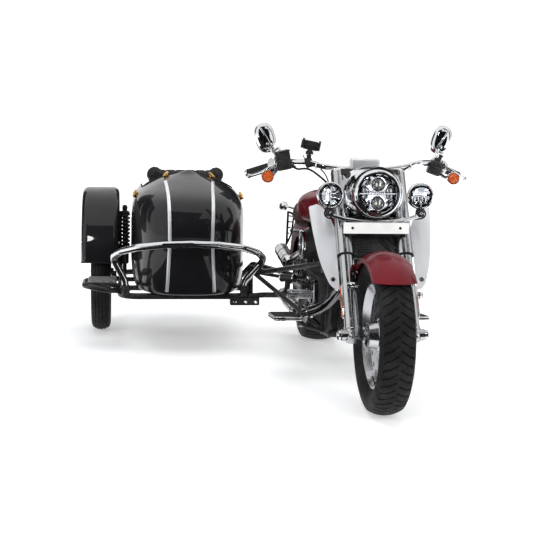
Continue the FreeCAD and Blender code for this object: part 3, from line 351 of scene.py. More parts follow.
def rubber(name, colour, dust, grain=600):
    """Moulded rubber: matte, a little dusty, fine grain."""
    made = Finish(name, colour, 0.0, 0.7, Specular_IOR_Level=0.2)
    made.colour(made.blend(made.ranged(made.noise(14, 6), 0, 0.7, 0.45, 0.8), colour, dust))
    made.roughness(made.ranged(made.noise(40), 0.55, 0.8))
    made.bump(made.noise(grain, 3), 0.15, 0.0005)
    return made.material


def hide(name, colour, deep, light):
    """Grained leather: pebbles, soft wrinkles, lighter where it is rubbed."""
    made = Finish(name, colour, 0.0, 0.45, Specular_IOR_Level=0.3)
    base = made.blend(made.ranged(made.noise(9, 5), 0, 1), colour, deep)
    worn = made.blend(made.edges(0.53, 0.62), base, light)
    thread = made.tree.nodes.new("ShaderNodeAttribute")
    thread.attribute_name = "thread"
    made.colour(made.blend(made.ranged(thread.outputs["Fac"], 0, 0.85, 0.25, 0.8), worn, light))
    made.roughness(made.ranged(made.noise(25), 0.38, 0.6))
    made.bump(made.cells(420), 0.25, 0.0008)
    made.bump(made.noise(60, 5), 0.12, 0.0015)
    return made.material


def lens_plastic(name, colour):
    """Moulded lens: clear gloss over a pattern of small prisms."""
    made = Finish(name, colour, 0.0, 0.2, Coat_Weight=1.0, Coat_Roughness=0.03)
    deep = tuple(part * 0.55 for part in colour)
    made.colour(made.blend(made.ranged(made.cells(260), 0, 0.8, 0.1, 0.6), colour, deep))
    made.bump(made.cells(260), 0.35, 0.0008)
    return made.material


def tread_plate(name, colour, deep):
    """Rough grey matting with a pebbled, worn face."""
    made = Finish(name, colour, 0.0, 0.75, Specular_IOR_Level=0.3)
    made.colour(made.blend(made.ranged(made.noise(55, 6, (1, 3, 1)), 0, 1, 0.35, 0.65), colour, deep))
    made.roughness(made.ranged(made.noise(80), 0.6, 0.85))
    made.bump(made.cells(210), 0.5, 0.0015)
    return made.material


finishes = {
    "red_paint": gloss_paint("deep_red_lacquer", (0.08, 0.002, 0.007), (0.035, 0.001, 0.003), (0.17, 0.006, 0.014), 0.3,
                             0.3),
    "black_paint": gloss_paint("gloss_black_lacquer", (0.006, 0.006, 0.007), (0.003, 0.003, 0.003),
                               (0.012, 0.012, 0.014), 0.1, 0.7),
    "silver_paint": gloss_paint("silver_lacquer", (0.7, 0.71, 0.73), (0.52, 0.53, 0.55), (0.84, 0.85, 0.87), 0.65),
    "chrome": bright_metal("bright_chrome", (0.78, 0.79, 0.81), 0.04, 0.14),
    "lamp_chrome": bright_metal("lamp_chrome", (0.8, 0.81, 0.83), 0.05, 0.12),
    "polished_wheel": bright_metal("polished_alloy", (0.62, 0.63, 0.65), 0.16, 0.32),
    "polished_fork": bright_metal("polished_fork_alloy", (0.55, 0.56, 0.57), 0.12, 0.22, grain=(1, 1, 0.05)),
    "exhaust_steel": bright_metal("brushed_exhaust", (0.55, 0.54, 0.53), 0.2, 0.36, grain=(1, 0.04, 1)),
    "engine_alloy": bright_metal("cast_alloy", (0.28, 0.28, 0.29), 0.35, 0.6),
    "black_metal": coated_metal("black_powder_coat", (0.012, 0.012, 0.013), (0.03, 0.03, 0.03), 0.22, 0.4),
    "plate_white": coated_metal("white_plate_paint", (0.78, 0.78, 0.76), (0.7, 0.7, 0.68), 0.3, 0.45),
    "black_plastic": rubber("black_moulded_plastic", (0.015, 0.015, 0.016), (0.04, 0.04, 0.04), 300),
    "tyre": rubber("tyre_rubber", (0.009, 0.009, 0.0095), (0.03, 0.029, 0.028)),
    "amber_lens": lens_plastic("amber_lens", (0.6, 0.095, 0.004)),
    "brown_leather": hide("brown_saddle_leather", (0.034, 0.010, 0.009), (0.018, 0.005, 0.005), (0.16, 0.07, 0.05)),
    "black_leather": hide("black_seat_leather", (0.010, 0.010, 0.011), (0.006, 0.006, 0.006), (0.03, 0.03, 0.03)),
    "clear_cover": Finish("clear_lamp_cover", (0.98, 0.99, 1.0), 0.0, 0.02, Transmission_Weight=1.0, IOR=1.2).material,
    "dark_projector": Finish("projector_lens", (0.01, 0.011, 0.014), 0.0, 0.06, Coat_Weight=1.0,
                             Coat_Roughness=0.01).material,
    "lamp_emitter": Finish("led_chips", (0.75, 0.76, 0.6), 0.0, 0.3).material,
    # Darker chrome. On the lamp's side reflectors, the screws, the louvres and the heat shield it is a smoked finish.
    # On the rocker boxes, pushrod tubes and cam cover it is painted shade: the shade under the tank put into their
    # colour.
    "dark_chrome": bright_metal("smoked_chrome_and_painted_shade", (0.2, 0.2, 0.21), 0.06, 0.2),
    "mirror_glass": Finish("silvered_glass", (0.88, 0.9, 0.9), 1.0, 0.01, Coat_Weight=1.0).material,
    "hose_rubber": rubber("hose_rubber", (0.01, 0.01, 0.01), (0.03, 0.03, 0.03), 900),
    "pale_tie": Finish("pale_nylon", (0.7, 0.7, 0.68), 0.0, 0.4).material,
    "engine_black": coated_metal("wrinkle_black_enamel", (0.012, 0.012, 0.013), (0.045, 0.045, 0.046), 0.35, 0.6),
    "exhaust_dark": bright_metal("smoked_exhaust", (0.16, 0.15, 0.145), 0.12, 0.3, grain=(1, 0.04, 1)),
    "brass": bright_metal("cast_brass", (0.84, 0.52, 0.17), 0.22, 0.42, (0.3, 0.16, 0.05)),
    "red_lens": lens_plastic("red_lens", (0.3, 0.003, 0.003)),
    "tread_grey": tread_plate("grey_tread_mat", (0.2, 0.2, 0.2), (0.04, 0.04, 0.04)),
}
slot_of = {part["node"]: part["material_slot"] for part in frame["record"]["subparts"]}
for label, node in nodes.items():
    node.data.materials.clear()
    node.data.materials.append(finishes[slot_of[label]])


# ---- modelling -------------------------------------------------------------------


def only(*pieces):
    """Selects these objects and nothing else; the first is the active one."""
    bpy.ops.object.select_all(action="DESELECT")
    for piece in pieces:
        piece.select_set(True)
    bpy.context.view_layer.objects.active = pieces[0]
    return pieces[0]


def take(name):
    """Names the object that an operator has just made."""
    piece = bpy.context.object
    piece.name = name
    return piece


def settle(piece, matrix=None):
    """Moves a piece by a matrix and writes its place into its mesh."""
    if matrix is not None:
        piece.matrix_world = matrix
    only(piece)
    bpy.ops.object.transform_apply(location=True, rotation=True, scale=True)
    return piece


def clean(piece, gap=0.00002):
    """Closes seams and poles, and turns every face outwards."""
    only(piece)
    bpy.ops.object.mode_set(mode="EDIT")
    bpy.ops.mesh.select_all(action="SELECT")
    bpy.ops.mesh.remove_doubles(threshold=gap)
    bpy.ops.mesh.normals_make_consistent(inside=False)
    bpy.ops.object.mode_set(mode="OBJECT")
    return piece


def pick(piece, test, kind="FACE"):
    """In edit mode, selects what passes a test of its middle and its normal."""
    bpy.ops.mesh.select_mode(type=kind)
    bpy.ops.mesh.select_all(action="DESELECT")
    mesh = bmesh.from_edit_mesh(piece.data)
    if kind == "FACE":
        for face in mesh.faces:
            face.select_set(bool(test(face.calc_center_median(), face.normal)))
    elif kind == "EDGE":
        for edge in mesh.edges:
            a, b = edge.verts
            edge.select_set(bool(test((a.co + b.co) / 2, (b.co - a.co).normalized())))
    else:
        for corner in mesh.verts:
            corner.select_set(bool(test(corner.co, corner.normal)))
    mesh.select_flush_mode()
    bmesh.update_edit_mesh(piece.data)


def aim(place, direction, roll=0.0):
    """A matrix that stands +Z along a direction at a place."""
    turn = Vector(direction).to_track_quat("Z", "Y").to_matrix().to_4x4()
    return Matrix.Translation(place) @ turn @ Matrix.Rotation(math.radians(roll), 4, "Z")


def facing(place, tilt=0.0):
    """A matrix that turns +Z to the front and +Y up at a place."""
    return Matrix.Translation(place) @ Matrix.Rotation(math.radians(90 + tilt), 4, "X")


def turned(name, rings, sides=32, matrix=None, caps=True, twists=None):
    """A piece off the lathe: a circle extruded and resized ring by ring along Z.

    A ring is a height and a radius in millimetres. Twists turn single rings.
    """
    bpy.ops.object.select_all(action="DESELECT")
    bpy.ops.mesh.primitive_circle_add(vertices=sides, radius=rings[0][1] / 1000,
                                      fill_type="NGON" if caps else "NOTHING")
    piece = take(name)
    bpy.ops.object.mode_set(mode="EDIT")
    bpy.ops.mesh.select_mode(type="VERT")
    bpy.ops.mesh.select_all(action="SELECT")
    bpy.ops.transform.translate(value=(0, 0, rings[0][0] / 1000))
    last_twist = 0.0
    if twists:
        bpy.ops.transform.rotate(value=-twists[0], orient_axis="Z", center_override=(0, 0, 0))
        last_twist = twists[0]
    for number, (before, ring) in enumerate(zip(rings, rings[1:]), 1):
        bpy.ops.mesh.extrude_region_move(TRANSFORM_OT_translate={"value": (0, 0, (ring[0] - before[0]) / 1000)})
        share = ring[1] / before[1]
        bpy.ops.transform.resize(value=(share, share, 1), center_override=(0, 0, ring[0] / 1000))
        if twists and twists[number] != last_twist:
            bpy.ops.transform.rotate(value=last_twist - twists[number], orient_axis="Z", center_override=(0, 0, 0))
            last_twist = twists[number]
    bpy.ops.object.mode_set(mode="OBJECT")
    clean(piece)
    return settle(piece, matrix) if matrix is not None else piece


def block(name, low, high, soft=0.0, steps=2, matrix=None):
    """A cube drawn out between two corners in millimetres, its edges rounded."""
    low, high = Vector(low) / 1000, Vector(high) / 1000
    bpy.ops.object.select_all(action="DESELECT")
    bpy.ops.mesh.primitive_cube_add(size=1)
    piece = take(name)
    bpy.ops.object.mode_set(mode="EDIT")
    bpy.ops.mesh.select_all(action="SELECT")
    bpy.ops.transform.resize(value=tuple(high - low))
    bpy.ops.transform.translate(value=tuple((low + high) / 2))
    if soft:
        bpy.ops.mesh.bevel(offset=soft / 1000, segments=steps, affect="EDGES")
    bpy.ops.object.mode_set(mode="OBJECT")
    return settle(piece, matrix) if matrix is not None else piece


def bar(name, points, radius, sides=3, loop=False, matrix=None, smooth=6):
    """A bent round bar along a soft line of places, in metres."""
    bpy.ops.object.select_all(action="DESELECT")
    bpy.ops.curve.primitive_nurbs_path_add()
    piece = take(name)
    curve = piece.data
    curve.splines.clear()
    line = curve.splines.new("NURBS")
    line.points.add(len(points) - 1)
    for point, place in zip(line.points, points):
        point.co = (*place, 1)
    line.order_u = 3
    line.use_endpoint_u = not loop
    line.use_cyclic_u = loop
    curve.resolution_u = smooth
    curve.bevel_depth = radius / 1000
    curve.bevel_resolution = sides
    curve.use_fill_caps = not loop
    only(piece)
    bpy.ops.object.convert(target="MESH")
    piece = bpy.context.object
    clean(piece)
    return settle(piece, matrix) if matrix is not None else piece


def copied(piece, matrix, name=None):
    """Another of the same, with its own mesh, moved by a matrix."""
    twin = piece.copy()
    twin.data = piece.data.copy()
    twin.name = name or piece.name
    bpy.context.scene.collection.objects.link(twin)
    settle(twin, matrix)
    if matrix.determinant() < 0:
        clean(twin)
    return twin


def joined(name, pieces):
    """Several objects made one."""
    only(*pieces)
    if len(pieces) > 1:
        bpy.ops.object.join()
    return take(name)


def repeated(name, piece, matrices):
    """A piece copied to each place, as one object; the pattern piece goes."""
    twins = [copied(piece, matrix) for matrix in matrices]
    bpy.data.objects.remove(piece)
    return joined(name, twins)


def softened(piece, width, steps=2, angle=40):
    """Rounds a piece's sharp edges with an applied bevel."""
    only(piece)
    bevel = piece.modifiers.new("edge_round", "BEVEL")
    bevel.width = width / 1000
    bevel.segments = steps
    bevel.limit_method = "ANGLE"
    bevel.angle_limit = math.radians(angle)
    bpy.ops.object.modifier_apply(modifier=bevel.name)
    return piece


def fit(piece, body, slot, finish=None, smooth=38):
    """Gives a piece its finish and fastens it to a body."""
    only(piece)
    bpy.ops.object.shade_smooth_by_angle(angle=math.radians(smooth))
    piece.data.materials.clear()
    piece.data.materials.append(finishes[finish or slot])
    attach(piece, body)
    return piece


MIRROR = Matrix.Translation((2 * FRONT_AXLE.x, 0, 0)) @ Matrix.Diagonal((-1, 1, 1, 1))


def pair(piece, body, slot, finish=None, smooth=38, names=("left", "right")):
    """A piece on the rider's left and its mirror image on the right."""
    stem = piece.name
    twin = copied(piece, MIRROR, "%s_%s" % (stem, names[1]))
    piece.name = "%s_%s" % (stem, names[0])
    fit(twin, body, slot, finish, smooth)
    return fit(piece, body, slot, finish, smooth), twin


def arc(first, through, last, steps):
    """Places along the circle through three places in a plane."""
    (ax, ay), (bx, by), (cx, cy) = first, through, last
    d = 2 * (ax * (by - cy) + bx * (cy - ay) + cx * (ay - by))
    ux = ((ax * ax + ay * ay) * (by - cy) + (bx * bx + by * by) * (cy - ay) + (cx * cx + cy * cy) * (ay - by)) / d
    uy = ((ax * ax + ay * ay) * (cx - bx) + (bx * bx + by * by) * (ax - cx) + (cx * cx + cy * cy) * (bx - ax)) / d
    radius = math.hypot(ax - ux, ay - uy)
    start = math.atan2(ay - uy, ax - ux)
    middle = (math.atan2(by - uy, bx - ux) - start) % math.tau
    sweep = (math.atan2(cy - uy, cx - ux) - start) % math.tau
    if middle > sweep:
        sweep -= math.tau
    return [(ux + radius * math.cos(start + sweep * s / steps), uy + radius * math.sin(start + sweep * s / steps))
            for s in range(steps + 1)]


def hex_bolt(name, matrix, across=12, tall=7, washer=True):
    """A domed hexagon bolt head on its washer."""
    head = turned(name, [(0.01, across / 2), (tall - 1.5, across / 2), (tall, across / 2 - 1.6), (tall, 0.01)], 6)
    parts = [head]
    if washer:
        parts.append(turned("washer", [(0, across * 0.72), (1.4, across * 0.72), (1.6, across * 0.6),
                                       (1.6, 0.01)], 20))
    return settle(joined(name, parts), matrix)


def bolt_heads(places, direction, across=12, tall=7):
    """Hexagon bolt heads at places, all pointing one way."""
    return [hex_bolt("head", aim(place, direction), across, tall) for place in places]


# ---- tyres -----------------------------------------------------------------------

# node, body, axle, radius, width, rim radius, pitches, columns a pitch, groove lean, tread kind
TYRES = (
    ("front_tyre", "front_wheel", FRONT_AXLE, 321, 140, 216, 54, 6, 30, "chevron"),
    ("rear_tyre", "rear_wheel", REAR_AXLE, 326, 200, 216, 50, 6, 30, "chevron"),
    ("sidecar_tyre", "sidecar_wheel", SIDE_AXLE, 322, 104, 232, 60, 5, 8, "ribbed"),
)
SIDEWAYS = Matrix(((0, 0, 1, 0), (0, -1, 0, 0), (1, 0, 0, 0), (0, 0, 0, 1)))


def make_tyre(node, body, axle, radius, width, rim, pitches, columns, lean, kind):
    """A tyre with moulded sidewall ribs and its tread cut in, groove by groove."""
    middle = (radius + rim) / 2 + 2
    shoulder = 0.43 * width
    wall = arc((0.32 * width, rim), (width / 2, middle), (shoulder, radius - 17), 10)
    crown = arc((-shoulder, radius - 17), (0, radius), (shoulder, radius - 17), 26)
    right = wall[:3] + [(wall[3][0] - 0.2, wall[3][1]), (wall[3][0] + 1.0, wall[3][1] + 3)] + wall[4:7]
    right += [(wall[7][0] - 0.2, wall[7][1]), (wall[7][0] - 0.8, wall[7][1] + 2.5)] + wall[8:10]
    left = [(-x, r) for x, r in right]
    rings = left + crown + right[::-1] + [(0.32 * width, rim + 0.4), (-0.32 * width, rim + 0.4), left[0]]
    sides = pitches * columns
    slope = -math.tan(math.radians(lean)) / radius

    def twist(x):
        return slope * min(abs(x), shoulder)

    piece = turned(node + "_rubber", rings, sides, caps=False, twists=[twist(x) for x, r in rings])
    only(piece)
    bpy.ops.object.mode_set(mode="EDIT")

    def column(middle):
        x = middle.z * 1000
        turn = (math.atan2(middle.y, middle.x) + twist(x)) % math.tau
        return int(turn * sides / math.tau) % columns

    def chevron(middle, normal):
        x = middle.z * 1000
        if math.hypot(middle.x, middle.y) * 1000 < radius - TREAD_EDGE or abs(x) < 0.045 * width:
            return False
        if abs(x) > shoulder * 0.97:
            return False
        return column(middle) == (0 if x < 0 else columns // 2)

    def ribbed(middle, normal):
        x = abs(middle.z * 1000)
        if math.hypot(middle.x, middle.y) * 1000 < radius - TREAD_EDGE:
            return False
        long_groove = any(abs(x - line) < 2.0 for line in (0.1 * width, 0.25 * width))
        return long_groove or (x > 0.33 * width and x < shoulder * 0.96 and column(middle) == 0)

    pick(piece, chevron if kind == "chevron" else ribbed)
    bpy.ops.mesh.extrude_region_shrink_fatten(TRANSFORM_OT_shrink_fatten={"value": -TREAD_DEPTH / 1000})
    bpy.ops.object.mode_set(mode="OBJECT")
    settle(piece, Matrix.Translation(axle) @ SIDEWAYS)
    clean(piece, 0.00001)
    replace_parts(fit(piece, body, "tyre", smooth=30), node)


def make_tyres():
    """All three tyres and their valves."""
    for row in TYRES:
        make_tyre(*row)
    for body, axle, radius, x in (("front_wheel", FRONT_AXLE, 200, -26), ("rear_wheel", REAR_AXLE, 196, -30),
                                  ("sidecar_wheel", SIDE_AXLE, 214, 18)):
        stem = turned(body + "_valve", [(0, 4), (6, 4), (7, 2.6), (24, 2.6), (25, 3.6), (33, 3.6), (34, 2.4),
                                        (34, 0.01)], 12)
        fit(settle(stem, aim(axle + Vector((x, 0, -radius)) / 1000, (0.4 if x > 0 else -0.4, 0, 1))),
            body, "black_plastic")


# ---- lamps -----------------------------------------------------------------------


def make_headlamp():
    """Chrome shell and trim ring round two projector lenses, side reflectors and a clear cover."""
    front = facing(v(0, LAMP_BACK, LAMP_HEIGHT))
    shell = turned("headlamp_shell", [
        (-104, 0.01), (-104, 40), (-96, 60), (-70, 80), (-38, 94), (-31.5, 99.6), (-12, 99.6), (-5, 98), (0, 94),
        (2.5, 90), (2, 87), (-2, 85), (-7, 84), (-7, 82.5), (-2, 81), (-1, 79), (-5, 77.5), (-20, 75), (-40, 66),
        (-54, 40), (-56, 0.01)], 96, front)
    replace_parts(fit(shell, "steering", "lamp_chrome"), "headlamp")
    gasket = turned("headlamp_gasket", [(-7, 84.4), (-3.5, 84), (-3.2, 83), (-6.8, 82), (-7, 84.4)], 96, front,
                    caps=False)
    fit(gasket, "steering", "black_plastic")
    pods = []
    for number, up in enumerate((38, -38)):
        seat = facing(v(0, LAMP_BACK, LAMP_HEIGHT + up))
        pods.append(turned("pod", [(-54, 20), (-30, 22), (-12, 29), (-8, 31), (-6, 31), (-5.5, 29.5), (-8, 27.5),
                                   (-18, 26), (-18.5, 25)], 48, seat, caps=False))
        lens = turned("headlamp_projector_%d" % number, [
            (-18.4, 25.6), (-14, 25), (-9.5, 22), (-6, 16.5), (-4.2, 9), (-3.8, 0.01)], 48, seat)
        fit(lens, "steering", "lamp_chrome", "dark_projector")
        chips = [block("chip", (x - 3, y - 6, -18), (x + 3, y + 6, -2.8 - abs(y) / 4), 1, 1, seat)
                 for x, y in ((-7, 0), (7, 0))]
        fit(joined("headlamp_chips_%d" % number, chips), "steering", "lamp_chrome", "lamp_emitter")
    fit(joined("headlamp_pods", pods), "steering", "lamp_chrome")
    wings = []
    for x in (-49, 49):
        wing = block("wing", (x - 13, -24, -46), (x + 13, 24, -14), 8, 3)
        only(wing)
        bpy.ops.object.mode_set(mode="EDIT")
        pick(wing, lambda middle, normal: normal.z > 0.9 and middle.z > -0.0145)
        bpy.ops.mesh.inset(thickness=0.0035)
        bpy.ops.transform.translate(value=(0, 0, -0.012))
        bpy.ops.object.mode_set(mode="OBJECT")
        wings.append(settle(wing, front))
    fit(joined("headlamp_side_reflectors", wings), "steering", "lamp_chrome", "dark_chrome")
    shelf = [block("shelf", (-74, -2.2, -50), (74, 2.2, -12), 1, 1, front)]
    shelf += [block("fin", (x - 1.2, -7, -48), (x + 1.2, 7, -16), 0.5, 1, front) for x in range(-28, 29, 8)]
    fit(joined("headlamp_shelf", shelf), "steering", "lamp_chrome")
    cover = turned("headlamp_cover", [(-2, 78.5), (1.5, 70), (4.5, 54), (6.5, 34), (7.6, 0.01)], 72, front)
    fit(cover, "steering", "lamp_chrome", "clear_cover")
    screw = turned("headlamp_screw", [(0, 3.4), (2, 3.2), (2.6, 2.2), (2.6, 0.01)], 14,
                   facing(v(0, LAMP_BACK - 1, LAMP_HEIGHT - 92)))
    fit(screw, "steering", "lamp_chrome", "dark_chrome")


def make_fog_lamps():
    """Two small round lamps: shell, trim ring, reflector, three emitters behind a visor, clear cover."""
    for label, side in (("left", 1), ("right", -1)):
        front = facing(v(side * FOG_SIDE, FOG_BACK, FOG_HEIGHT))
        shell = turned("fog_lamp_shell_" + label, [
            (-84, 0.01), (-84, 8), (-72, 26), (-56, 40), (-26, 52), (-18, 56.6), (-8, 56.6), (-2, 55), (1.5, 52),
            (2, 49.5), (0, 47), (-5, 46), (-5, 44.6), (-1.5, 43.6), (-1.5, 42), (-14, 40), (-30, 30), (-36, 14),
            (-36, 0.01)], 72, front)
        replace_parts(fit(shell, "steering", "lamp_chrome"), "fog_lamp_" + label)
        ring = turned("fog_lamp_gasket_" + label, [(-5, 46.4), (-1.8, 46.2), (-1.8, 44.9), (-5, 44.7), (-5, 46.4)],
                      72, front, caps=False)
        fit(ring, "steering", "black_plastic")
        turn = front @ Matrix.Rotation(math.radians(0 if side > 0 else 90), 4, "Z")
        visor = [block("visor", (-34, -3, -34), (34, 0, -8), 1, 1, turn)]
        visor += [block("rib", (x - 1.5, -22, -34), (x + 1.5, 0, -12), 0.6, 1, turn) for x in (-22, -8, 8, 22)]
        visor.append(block("hood", (-28, 0, -34), (28, 17, -15), 7, 3, turn))
        fit(joined("fog_lamp_visor_" + label, visor), "steering", "lamp_chrome")
        chips = [block("chip", (x - 5, -17, -30), (x + 5, -4, -16), 3, 2, turn) for x in (-15, 0, 15)]
        fit(joined("fog_lamp_chips_" + label, chips), "steering", "lamp_chrome", "dark_projector")
        cover = turned("fog_lamp_cover_" + label, [(-2, 43.4), (1.5, 34), (3.6, 20), (4.4, 0.01)], 48, front)
        fit(cover, "steering", "lamp_chrome", "clear_cover")


def make_signals():
    """Round amber lenses with stepped rings in bright bullet shells."""
    for label, side in (("left", 1), ("right", -1)):
        front = facing(v(side * SIGNAL_SIDE, SIGNAL_BACK, SIGNAL_HEIGHT))
        shell = turned("turn_signal_shell_" + label, [
            (-66, 0.01), (-66, 10), (-62, 14), (-48, 21), (-26, 27), (-14, 27.9), (-3, 27.9), (-2, 27), (-3, 25.2),
            (-12, 24.4), (-12, 0.01)], 48, front)
        fit(shell, "steering", "chrome")
        lens = turned("turn_signal_lens_" + label, [
            (-11, 24.2), (-4, 24.4), (-1, 23.6), (-0.5, 22.0), (-2, 20.8), (-1, 19.5), (-2.2, 17), (-0.8, 14),
            (-2, 11), (-0.3, 8), (-0.2, 0.01)], 48, front)
        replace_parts(fit(lens, "steering", "amber_lens"), "turn_signal_" + label)
        stalk = bar("turn_signal_stalk_" + label, [v(side * 414, 562, 924), v(side * 396, 568, 926),
                                                  v(side * 378, 580, 932), v(side * 368, 596, 947)], 7)
        nut = hex_bolt("turn_signal_nut_" + label, aim(v(side * 370, 594, 944), (0, 0, -1)), 15, 6)
        fit(joined("turn_signal_arm_" + label, [stalk, nut]), "steering", "chrome")


# ---- controls --------------------------------------------------------------------

BAR_BEND = v(330, 575, 990)
BAR_END = v(489.4, 715, 928)
GRIP = (BAR_END - BAR_BEND).normalized()


def on_bar(along, across=0.0, up=0.0):
    """A place beside the left end of the bar, millimetres from its last bend."""
    ahead = Vector((0, 0, 1)).cross(GRIP).normalized()
    return BAR_BEND + (GRIP * along - ahead * across + GRIP.cross(-ahead) * -up) / 1000


def make_grips():
    """Rubber grips with ribs, between a bright flange and a bright end cap."""
    rings = [(80, 15), (81, 20), (84, 20.4), (86, 17.6)]
    for step in range(13):
        rings += [(89 + step * 9, 17.6), (90 + step * 9, 16.4), (93 + step * 9, 16.4), (94 + step * 9, 17.6)]
    rings += [(206, 17.6), (208, 16), (209, 13.2)]
    pair(turned("grip", rings, 32, aim(BAR_BEND, GRIP), caps=False), "steering", "black_plastic")
    cap = turned("grip_cap", [(206, 18.4), (212, 18.6), (217, 17.6), (219.6, 15), (220.4, 11)], 40,
                 aim(BAR_BEND, GRIP), caps=False)
    pair(cap, "steering", "chrome")


def make_switch_boxes():
    """A reservoir and switch box on the right, a slimmer one under the bar on the left."""
    right = at(-343, 566, 988) @ Matrix.Rotation(math.radians(-12), 4, "Y")
    parts = [block("box", (-33, -30, -36), (34, 26, 20), 11, 3, right),
             block("pot", (-31, -31, 10), (33, 25, 44), 5, 2, right),
             block("lid", (-34, -34, 43), (36, 28, 49), 2.5, 2, right),
             turned("knob", [(0, 8), (8, 8), (9, 6), (9, 0.01)], 20, right @ facing(Vector((0.016, -0.029, -0.016)))),
             block("button", (-22, -33, -6), (-8, -29, 6), 1.5, 2, right)]
    fit(joined("right_switch_box", parts), "steering", "black_metal")
    bolts = [hex_bolt("bolt", right @ Matrix.Translation(Vector(p) / 1000), 6, 2.5)
             for p in ((-26, -26, 48.8), (28, -26, 48.8), (-26, 20, 48.8), (28, 20, 48.8))]
    fit(joined("right_reservoir_screws", bolts), "steering", "chrome")
    joint = turned("right_banjo", [(0, 8), (5, 9), (12, 9), (13, 7), (22, 6), (23, 4), (23, 0.01)], 16,
                   aim(v(-309, 556, 972), (1, -0.15, -0.25)))
    fit(joint, "steering", "chrome")
    left = at(338, 566, 972) @ Matrix.Rotation(math.radians(20), 4, "Y")
    parts = [block("box", (-30, -30, -34), (30, 22, 28), 10, 3, left),
             block("rib", (-26, -33, -6), (26, -28, 2), 2, 2, left),
             block("button", (-16, -33, 8), (-4, -29, 18), 1.5, 2, left),
             block("toggle", (4, -35, 8), (18, -29, 18), 2, 2, left)]
    fit(joined("left_switch_box", parts), "steering", "black_metal")
    knob = [block("stalk", (-15, -12, 24), (13, 10, 44), 7, 3, left),
            turned("post", [(30, 9), (52, 8), (56, 10), (62, 9), (63, 0.01)], 16,
                   left @ Matrix.Rotation(math.radians(8), 4, "Y"))]
    fit(joined("left_choke_knob", knob), "steering", "black_plastic")


def make_clamps():
    """Pivots and bolts of the lever clamps, and the bright blades with their ball ends."""
    cap = turned("lever_pivot", [(-13, 9), (13, 9), (14, 7), (14, 0.01)], 20,
                 Matrix.Translation(on_bar(58) + Vector((0.006, -0.060, 0.004))))
    pair(cap, "steering", "chrome")
    blade = bar("lever_face", [on_bar(58) + Vector((0.006, -0.062, 0.006)), v(424, 532, 949), v(450, 562, 936),
                               v(478, 596, 925)], 7.4, 4)
    ball = turned("ball", [(-10.4, 0.01), (-9.6, 4), (-6, 8.4), (0, 10.3), (6, 8.4), (9.6, 4), (10.4, 0.01)], 24,
                  at(487, 600, 922))
    pair(joined("lever_face", [blade, ball]), "steering", "chrome")
    bolts = bolt_heads([on_bar(58) + Vector((0.004, -0.034, up)) for up in (-0.02, 0.02)], (0, -1, 0), 8, 5)
    pair(joined("lever_clamp_bolts", bolts), "steering", "chrome")


def make_cables():
    """Hoses and cables from the switch boxes to the lamp housing."""
    rows = (
        ("right_brake_hose", 4.6, [(-300, 556, 968), (-284, 540, 956), (-262, 520, 962), (-236, 492, 962),
                                   (-196, 430, 930), (-158, 372, 890), (-140, 330, 868)]),
        ("right_wire", 2.2, [(-262, 516, 1018), (-254, 506, 1000), (-240, 494, 978), (-246, 490, 962)]),
        ("right_wire_low", 3.0, [(-190, 478, 962), (-176, 462, 948), (-166, 448, 926), (-162, 400, 896),
                                 (-150, 350, 872)]),
        ("left_clutch_cable", 4.2, [(322, 566, 1000), (290, 540, 1004), (240, 500, 996), (190, 476, 974),
                                    (150, 452, 944), (120, 420, 908), (96, 360, 880)]),
        ("left_wire", 2.4, [(352, 548, 952), (366, 530, 938), (384, 526, 932), (400, 540, 942), (408, 560, 940)]),
        ("left_wire_loop", 2.2, [(404, 560, 946), (416, 546, 938), (424, 548, 926), (418, 560, 922)]),
    )
    for name, radius, places in rows:
        fit(bar(name, [v(*p) for p in places], radius), "steering", "black_plastic", "hose_rubber")
    ties = [turned("tie", [(-2.5, 13.4), (-2.5, 14.6), (2.5, 14.6), (2.5, 13.4), (-2.5, 13.4)], 24,
                   aim(v(x, y, z), direction), caps=False)
            for x, y, z, direction in ((-206, 493, 977, (1, -0.45, -0.25)), (206, 493, 977, (1, 0.45, 0.25)))]
    fit(joined("bar_ties", ties), "steering", "black_plastic", "pale_tie")


def make_phone_holder():
    """A clamp, ball joint and spring-jawed cradle."""
    clamp = v(-238, 507, 989)
    across = Vector((1, -0.45, 0.28)).normalized()
    collar = turned("collar", [(-13, 13), (-13, 20), (-11, 22), (11, 22), (13, 20), (13, 13), (-13, 13)], 32,
                    aim(clamp, across), caps=False)
    cradle = Matrix.Translation(clamp + Vector((0.006, 0.006, 0.070))) @ Matrix.Rotation(math.radians(11), 4, "Y")
    parts = [collar,
             block("lug", (-9, -12, 16), (9, 12, 34), 3, 2, Matrix.Translation(clamp)),
             turned("ball", [(-13, 0.01), (-11, 7), (-5, 12), (0, 13), (5, 12), (11, 7), (13, 0.01)], 24,
                    Matrix.Translation(clamp + Vector((0.002, 0, 0.046)))),
             turned("nut", [(-7, 15), (-6, 16.5), (6, 16.5), (7, 15), (7, 12), (-7, 12), (-7, 15)], 10,
                    Matrix.Translation(clamp + Vector((0.002, 0, 0.042))), caps=False),
             block("back", (-30, -4, -16), (34, 12, 24), 6, 3, cradle),
             block("rim", (-33, -9, -2), (37, 10, 10), 4, 2, cradle)]
    for side in (-36, 36):
        parts.append(block("jaw", (side - 4, -14, -14), (side + 6, 13, 22), 3.5, 2, cradle))
        parts.append(block("finger", (side - 3, -16, 12), (side + 5, -2, 30), 2.5, 2, cradle))
    parts.append(turned("wheel", [(-4, 7), (-3, 8), (3, 8), (4, 7), (4, 0.01)], 14,
                        cradle @ Matrix.Translation((0.034, -0.010, 0.002))))
    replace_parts(fit(joined("phone_cradle", parts), "steering", "black_plastic"), "phone_holder")


